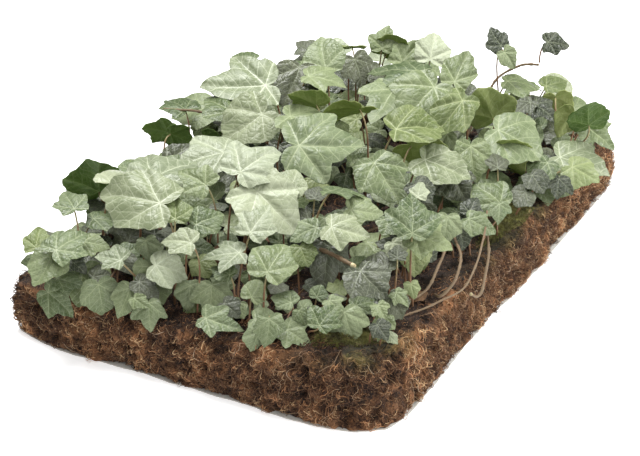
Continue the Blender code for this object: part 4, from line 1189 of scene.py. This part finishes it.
def build_moss(name, middle, half_x, half_y, finish):
    """A moss cushion: a low dome that follows the mat, covered with upright tufts."""
    rng = np.random.default_rng(len(name))
    rings, spokes = 9, 40
    turn = np.arange(spokes) * math.tau / spokes
    share, turn = np.meshgrid(np.linspace(1, 0.08, rings), turn, indexing="ij")

    def cushion(share, turn, rise):
        uneven = 1 + 0.12 * np.sin(3 * turn + 1) + 0.08 * np.sin(5 * turn) + 0.05 * np.sin(13 * turn)
        reach = share * uneven
        u = middle[0] + 2 * reach * half_x * np.cos(turn) / MAT_WIDTH
        v = middle[1] + 2 * reach * half_y * np.sin(turn) / MAT_LENGTH
        spot = on_mat(u, v)
        spot[..., 2] += top_relief(spot) + rise
        return spot

    dome = cushion(share, turn, 0.0036 * (1 - share**4) - 0.0010)
    dome[..., 2] += 0.0012 * fractal(dome, 0.006, 3, 2)
    under = cushion(1.0, turn[:1], -0.0030)
    body = np.concatenate([under, dome]).reshape(-1, 3)
    j = np.arange(spokes)
    k = (j + 1) % spokes
    points = np.concatenate([body, [body[-spokes:].mean(axis=0), body[:spokes].mean(axis=0)]])
    last = len(body) - spokes
    crown = np.stack([last + j, last + k, np.full(spokes, len(body))], axis=-1)
    base = np.stack([k, j, np.full(spokes, len(body) + 1)], axis=-1)
    skin = Skin()
    skin.add(points, [ring_faces(rings + 1, spokes), crown, base])
    count = MOSS_TUFTS
    place = np.sqrt(rng.random(count)) * 1.05
    way = rng.uniform(0, math.tau, count)
    foot = cushion(place, way, 0.0036 * (1 - np.minimum(place, 1) ** 4) - 0.0012)
    lean = np.concatenate([rng.normal(0, 0.5, (count, 2)), np.ones((count, 1))], axis=1)
    tip = foot + unit(lean) * rng.uniform(0.0015, 0.0045, count)[:, None]
    bend = (foot + tip) / 2 + rng.normal(0, 0.0004, (count, 3))
    radii = np.tile([0.00045, 0.00035, 0.0001], (count, 1))
    skin.add(*tubes(np.stack([foot, bend, tip], axis=1), radii, 3))
    skin.piece(name + "_tufts", [finish], [name], "moss")


# ---- stems -------------------------------------------------------------------------------------
def smooth_route(points, step):
    """Points about step apart on a Catmull-Rom curve through the given ones."""
    points = np.asarray(points, float)
    ends = np.concatenate([[2 * points[0] - points[1]], points, [2 * points[-1] - points[-2]]])
    route = []
    for a, b, c, d in zip(ends, ends[1:], ends[2:], ends[3:]):
        t = np.arange(0, 1, step / max(step, np.linalg.norm(c - b)))[:, None]
        route.append(0.5 * (2 * b + (c - a) * t + (2 * a - 5 * b + 4 * c - d) * t**2
                            + (3 * b - a - 3 * c + d) * t**3))
    return np.concatenate([*route, points[-1:]])


def stem_skin(rng, route, radius):
    """A woody stem: a tube whose radius swells at the joints where leaves grew, every 25 mm or so,
    and wanders a little between them. Both ends are flat, cut faces of their own finish."""
    length = np.concatenate([[0], np.cumsum(np.linalg.norm(np.diff(route, axis=0), axis=1))])
    beat = length / 0.024 + rng.uniform(0, 1)
    swell = 0.30 * np.exp(-((np.mod(beat, 1) - 0.5) / 0.07) ** 2)
    radii = radius * (0.92 + swell + 0.08 * np.sin(length * 700 + rng.uniform(0, 6)))
    bow = np.stack([np.sin(beat * math.pi + phase) for phase in rng.uniform(0, 6, 3)], axis=-1)
    route = route + bow * radius * 0.22
    tangents = unit(np.gradient(route, axis=0))
    across = unit(np.cross(tangents, [0.31, 0.17, 0.94]))
    other = np.cross(tangents, across)
    turn = np.arange(STEM_SIDES) * math.tau / STEM_SIDES
    skin_place = np.stack(np.meshgrid(length * 400, turn * 1.3, [0.5], indexing="ij"), axis=-1)[:, :, 0]
    rough = 1 + 0.07 * value_noise(skin_place, 3)
    ring = np.cos(turn)[:, None] * across[:, None] + np.sin(turn)[:, None] * other[:, None]
    body = route[:, None] + (radii[:, None] * rough)[..., None] * ring
    count = len(route)
    points = np.concatenate([body.reshape(-1, 3), route[:1], route[-1:]])
    j = np.arange(STEM_SIDES)
    k = (j + 1) % STEM_SIDES
    start = np.stack([k, j, np.full(STEM_SIDES, count * STEM_SIDES)], axis=-1)
    end = np.stack([j, k, np.full(STEM_SIDES, 1)], axis=-1) + (count - 1) * STEM_SIDES
    end[:, 2] = count * STEM_SIDES + 1
    around, along = np.meshgrid(np.arange(STEM_SIDES) / STEM_SIDES, length / 0.05)
    uv = np.concatenate([np.stack([around, along], axis=-1).reshape(-1, 2), [[0.5, 0], [0.5, 0]]])
    return points, ring_faces(count, STEM_SIDES), np.concatenate([start, end]), uv


def build_stems():
    """The runners, the stub and the shoot, and the vines that creep over the mat."""
    cut = cut_material()
    routes = [(name, radius, smooth_route([on_mat(u, v, mm / 1000) for u, v, mm in places], 0.002))
              for name, radius, places in STEMS]
    for name, places in VINES:
        flat = smooth_route([(u * MAT_WIDTH / 2, v * MAT_LENGTH / 2, 0) for u, v in places], 0.003)
        laid = on_mat(2 * flat[:, 0] / MAT_WIDTH, 2 * flat[:, 1] / MAT_LENGTH, VINE_HEIGHT)
        routes.append((name, RUNNER_RADIUS, laid))
    for seed, (name, radius, route) in enumerate(routes):
        rng = np.random.default_rng(seed)
        points, sides, ends, uv = stem_skin(rng, route, BARE_STEM * radius)
        skin = Skin()
        skin.add(points, [sides], uv, 0)
        skin.faces.append(ends)
        skin.looks.append(np.full(len(ends), 1))
        if name == "cut_stub":
            skin.looks[0][-2 * STEM_SIDES:] = 1  # the bark's last two bands are bare wood
        skin.piece(name + "_bark", [BARK, cut], [name], "stem_bark")


# ---- planting ----------------------------------------------------------------------------------
def place_of(u, v, mm):
    """The point where a leaf's blade and petiole meet."""
    return np.array([u * MAT_WIDTH / 2, v * MAT_LENGTH / 2, float(mat_top(u, v)) + mm / 1000])


def finishes(kind):
    return [UPPER[kind], UNDER[kind], PETIOLE]


def probe(junction, length, heading, lean):
    """A coarse fan for a blade, to see what it would touch."""
    along, aside, normal = blade_axes(heading, lean)
    turn = np.linspace(-math.pi, math.pi, 14, endpoint=False)
    reach = 0.94 * blade_reach(turn, 0.4, 0.86, 0.52, 1.2, 1.15)[:, None]
    rim = junction + length * (reach * np.cos(turn)[:, None] * along + reach * np.sin(turn)[:, None] * aside
                               - BLADE_DROOP * reach**2 * normal)
    points = [Vector(p) for p in np.concatenate([rim, [junction]])]
    faces = [(i, (i + 1) % 14, 14) for i in range(14)]
    return points, faces


class Canopy:
    """The blades planted so far, to keep the next ones clear of them."""

    def __init__(self):
        self.points, self.faces, self.tree, self.junctions = [], [], None, []

    def add(self, points, faces, mm):
        start = len(self.points)
        self.points += points
        self.faces += [tuple(start + i for i in face) for face in faces]
        self.tree = BVHTree.FromPolygons(self.points, self.faces)
        self.junctions.append((points[-1].x, points[-1].y, mm))

    def clashes(self, points, faces):
        return len(self.tree.overlap(BVHTree.FromPolygons(points, faces)))

    def covers(self, points, way):
        """The share of these points from which a ray that way meets a planted blade."""
        return sum(self.tree.ray_cast(p, way, 0.5)[0] is not None for p in points) / len(points)

    def height(self, x, y):
        """The planted blades' height about here in mm: a mean weighted by exp(-(distance / 50 mm)^2)."""
        junctions = np.array(self.junctions)
        weight = np.exp(-((junctions[:, 0] - x) ** 2 + (junctions[:, 1] - y) ** 2) / 0.05**2) + 1e-6
        return float((weight * junctions[:, 2]).sum() / weight.sum())

    def gap(self, x, y):
        """The distance from here to where the nearest planted blade meets its petiole."""
        junctions = np.array(self.junctions)
        return float(np.hypot(junctions[:, 0] - x, junctions[:, 1] - y).min())


def foot_below(rng, u, v, heading, distance):
    """A place on the mat a little behind the leaf where its petiole can root."""
    way = math.radians(heading + 180 + rng.uniform(-40, 40))
    foot_u = np.clip(u + 2 * distance * math.cos(way) / MAT_WIDTH, -0.92, 0.92)
    foot_v = np.clip(v + 2 * distance * math.sin(way) / MAT_LENGTH, -0.93, 0.93)
    return on_mat(foot_u, foot_v, -0.002)


def plant_cad_leaves(canopy):
    """A detailed leaf for each CAD leaf, with its petiole rooted where the CAD one is."""
    for seed, (name, kind, (u, v), mm, length, heading, lean) in enumerate(LEAVES, 100):
        junction = place_of(u, v, mm)
        start = SHOOT_STARTS.get(name)
        foot = on_mat(start[0], start[1], start[2] / 1000) if start else cad_foot(name)
        skin = Skin()
        add_leaf(skin, np.random.default_rng(seed), kind, junction, length / 1000, heading, lean, foot,
                 LARGE_BLADE, BLADE_WIDTHS.get(name, 1.0))
        skin.piece(name + "_blade", finishes(kind), [name], SLOTS[kind])
        canopy.add(*probe(junction, length / 1000, heading, lean), mm)


def plant_more_leaves(canopy):
    """The leaves between them, each moved up or down a little to touch its neighbours least."""
    rng = np.random.default_rng(77)
    for part, rows in MORE_LEAVES.items():
        skins = {}
        for kind, u, v, mm, length, heading, lean in rows:
            tries = [(nudge, probe(place_of(u, v, mm + nudge), length / 1000, heading, lean))
                     for nudge in (0, 3, -3, 6, -6, 9, -9)]
            clashes = [canopy.clashes(*shape) for _, shape in tries]
            nudge, shape = tries[int(np.argmin(clashes))]
            canopy.add(*shape, mm + nudge)
            foot = foot_below(rng, u, v, heading, min(0.012, 0.4 * length / 1000))
            skin = skins.setdefault(kind, Skin())
            add_leaf(skin, rng, kind, place_of(u, v, mm + nudge), length / 1000, heading, lean, foot,
                     SMALL_BLADE)
        for kind, skin in skins.items():
            skin.piece(f"leaves_{part}_{kind}", finishes(kind), slot=SLOTS[kind])


def in_open_rim(u, v):
    """True along the front edge and the near part of the right edge, where the mat lies open."""
    return v < -0.93 or (u > 0.80 and v < 0.30) or (u > 0.72 and v < -0.70)


def plant_fillers(canopy, view):
    """Smaller leaves wherever the planted ones leave a gap, and a lower storey under them.

    A place is drawn at random. Near no other leaf it becomes a canopy leaf at its neighbours'
    height. Otherwise it goes lower down, at a random share of that height. It is dropped where it
    would cut other blades or stand in front of them, seen along the view. The last places drawn
    all lie in the mat's back quarter, which the view sees least of.
    """
    rng = np.random.default_rng(9)
    skins, planted = {}, 0
    for number in range(PLACES_TRIED + BACK_PLACES_TRIED):
        u, v = rng.uniform(-1.0, 1.0, 2)
        if number >= PLACES_TRIED:
            v = 0.52 + 0.44 * abs(v)
        x, y = u * MAT_WIDTH / 2, v * MAT_LENGTH / 2
        top = canopy.height(x, y)
        high = canopy.gap(x, y) > CANOPY_GAP
        mm = top * (rng.uniform(0.85, 1.05) if high else rng.uniform(0.25, 0.8))
        length = rng.uniform(26, 46) if high else rng.uniform(16, 34)
        heading = rng.uniform(-180, 180)
        lean = rng.uniform(5, 50)
        rim = max(abs(u), abs(v))
        mm = max(9.0, mm * (1.0 if rim < 0.85 else 0.7))
        if v < -0.78:
            mm, length = rng.uniform(8, 26), rng.uniform(13, 24)
        points, faces = probe(place_of(u, v, mm), length / 1000, heading, lean)
        if (in_open_rim(u, v) or canopy.clashes(points, faces)
                or canopy.covers(points, -view) > MAY_STAND_BEFORE):
            continue
        # Lower leaves get the dark kind more often and never the pale one: painted shade, for they stand
        # under the canopy.
        odds = [0.45, 0.25, 0.2, 0.1] if high else [0.5, 0.4, 0.0, 0.1]
        kind = rng.choice(["mid", "dark", "pale", "young"], p=odds)
        canopy.add(points, faces, mm)
        foot = foot_below(rng, u, v, heading, 0.010)
        half = "near" if v < 0 else "far"
        skin = skins.setdefault((half, kind), Skin())
        add_leaf(skin, rng, kind, place_of(u, v, mm), length / 1000, heading, lean, foot, LOWER_BLADE)
        planted += 1
        if planted >= LOWER_LEAVES:
            break
    for (half, kind), skin in skins.items():
        skin.piece(f"understory_{half}_{kind}", finishes(kind), slot=SLOTS[kind])


def plant_dead_leaves():
    """Dry brown leaves that lie on the mat between the petioles."""
    dead = leaf_material("leaf_dead", (0.06, 0.030, 0.015), (0.17, 0.092, 0.045), (0.24, 0.15, 0.08),
                         (0.30, 0.14, 0.04), 0.7, 0.1)
    rng = np.random.default_rng(15)
    skin = Skin()
    for _ in range(DEAD_LEAVES):
        u, v = rng.uniform(-0.9, 0.9, 2)
        mm, length = rng.uniform(5, 11), rng.uniform(13, 28)
        junction = place_of(u, v, mm)
        foot = foot_below(rng, u, v, rng.uniform(0, 360), 0.008)
        heading, lean = rng.uniform(-180, 180), rng.uniform(-25, 30)
        add_leaf(skin, rng, "mid", junction, length / 1000, heading, lean, foot, DEAD_BLADE)
    skin.piece("dead_leaves", [dead, dead, PETIOLE], slot="stem_bark")


# ---- camera, light and floor -------------------------------------------------------------------
CAMERA_AZIMUTH, CAMERA_ELEVATION = math.radians(27.9), math.radians(26.7)
CAMERA_DISTANCE = 2.05
CAMERA_TARGET = np.array([0.016, -0.068, 0.060])
CAMERA_LENS = 112.5


def towards_camera():
    """The unit vector from the mat to the camera."""
    level, rise = math.cos(CAMERA_ELEVATION), math.sin(CAMERA_ELEVATION)
    return np.array([math.sin(CAMERA_AZIMUTH) * level, -math.cos(CAMERA_AZIMUTH) * level, rise])


def aim(obj, place, target):
    """Put a lamp or a camera at a place and turn it to face the target."""
    obj.location = place
    obj.rotation_euler = Vector(np.asarray(target) - np.asarray(place)).to_track_quat("-Z", "Y").to_euler()


def add_area_light(name, place, size, watts):
    """A white soft box of this size, aimed at the middle of the mat."""
    light = bpy.data.lights.new(name, "AREA")
    light.shape = "RECTANGLE"
    light.size, light.size_y = size
    light.energy = watts
    obj = bpy.data.objects.new(name, light)
    bpy.context.scene.collection.objects.link(obj)
    aim(obj, place, (0.0, 0.0, 0.05))


def build_studio():
    """White surroundings, a soft light above and to the left, two weaker ones at the right and in
    front, a pale floor that glows a little, and the camera."""
    scene = bpy.context.scene
    scene.view_settings.view_transform = "Standard"
    world = bpy.data.worlds.new("studio")
    scene.world = world
    world.use_nodes = True
    background = world.node_tree.nodes["Background"]
    background.inputs["Color"].default_value = (1.0, 1.0, 1.0, 1.0)
    background.inputs["Strength"].default_value = 0.28
    add_area_light("softbox_above", (-0.40, 0.15, 1.65), (1.1, 0.9), 44)
    add_area_light("softbox_front", (1.1, -1.3, 1.35), (0.8, 0.7), 11)
    add_area_light("softbox_right", (1.5, 0.6, 1.0), (0.7, 0.6), 26)
    camera = bpy.data.objects.new("camera", bpy.data.cameras.new("camera"))
    scene.collection.objects.link(camera)
    camera.data.lens = CAMERA_LENS
    camera.data.sensor_width = 36.0
    camera.data.clip_start = 0.05
    aim(camera, CAMERA_TARGET + CAMERA_DISTANCE * towards_camera(), CAMERA_TARGET)
    scene.camera = camera
    made, tree, shader, place = new_material("floor_paper")
    shade = noise(tree, place, 3.0, 2.0)
    shade = calc(tree, "MULTIPLY", shade, 0.3)
    put(tree, shader.inputs["Base Color"], blend(tree, shade, (0.93, 0.93, 0.93), (0.88, 0.88, 0.88)))
    shader.inputs["Roughness"].default_value = 0.9
    shader.inputs["Emission Color"].default_value = (1.0, 1.0, 1.0, 1.0)
    shader.inputs["Emission Strength"].default_value = 0.50
    mesh = bpy.data.meshes.new("floor")
    mesh.from_pydata([(-6, -6, 0), (6, -6, 0), (6, 6, 0), (-6, 6, 0)], [], [(0, 1, 2, 3)])
    mesh.materials.append(made)
    floor = bpy.data.objects.new("floor", mesh)
    scene.collection.objects.link(floor)


def main():
    build_mat()
    build_fleece()
    build_strands()
    build_soil_crumbs()
    finish = moss_material()
    for name, middle, half_x, half_y in MOSS:
        build_moss(name, middle, half_x, half_y, finish)
    build_stems()
    canopy = Canopy()
    plant_cad_leaves(canopy)
    plant_more_leaves(canopy)
    plant_fillers(canopy, Vector(towards_camera()))
    plant_dead_leaves()
    build_studio()


main()
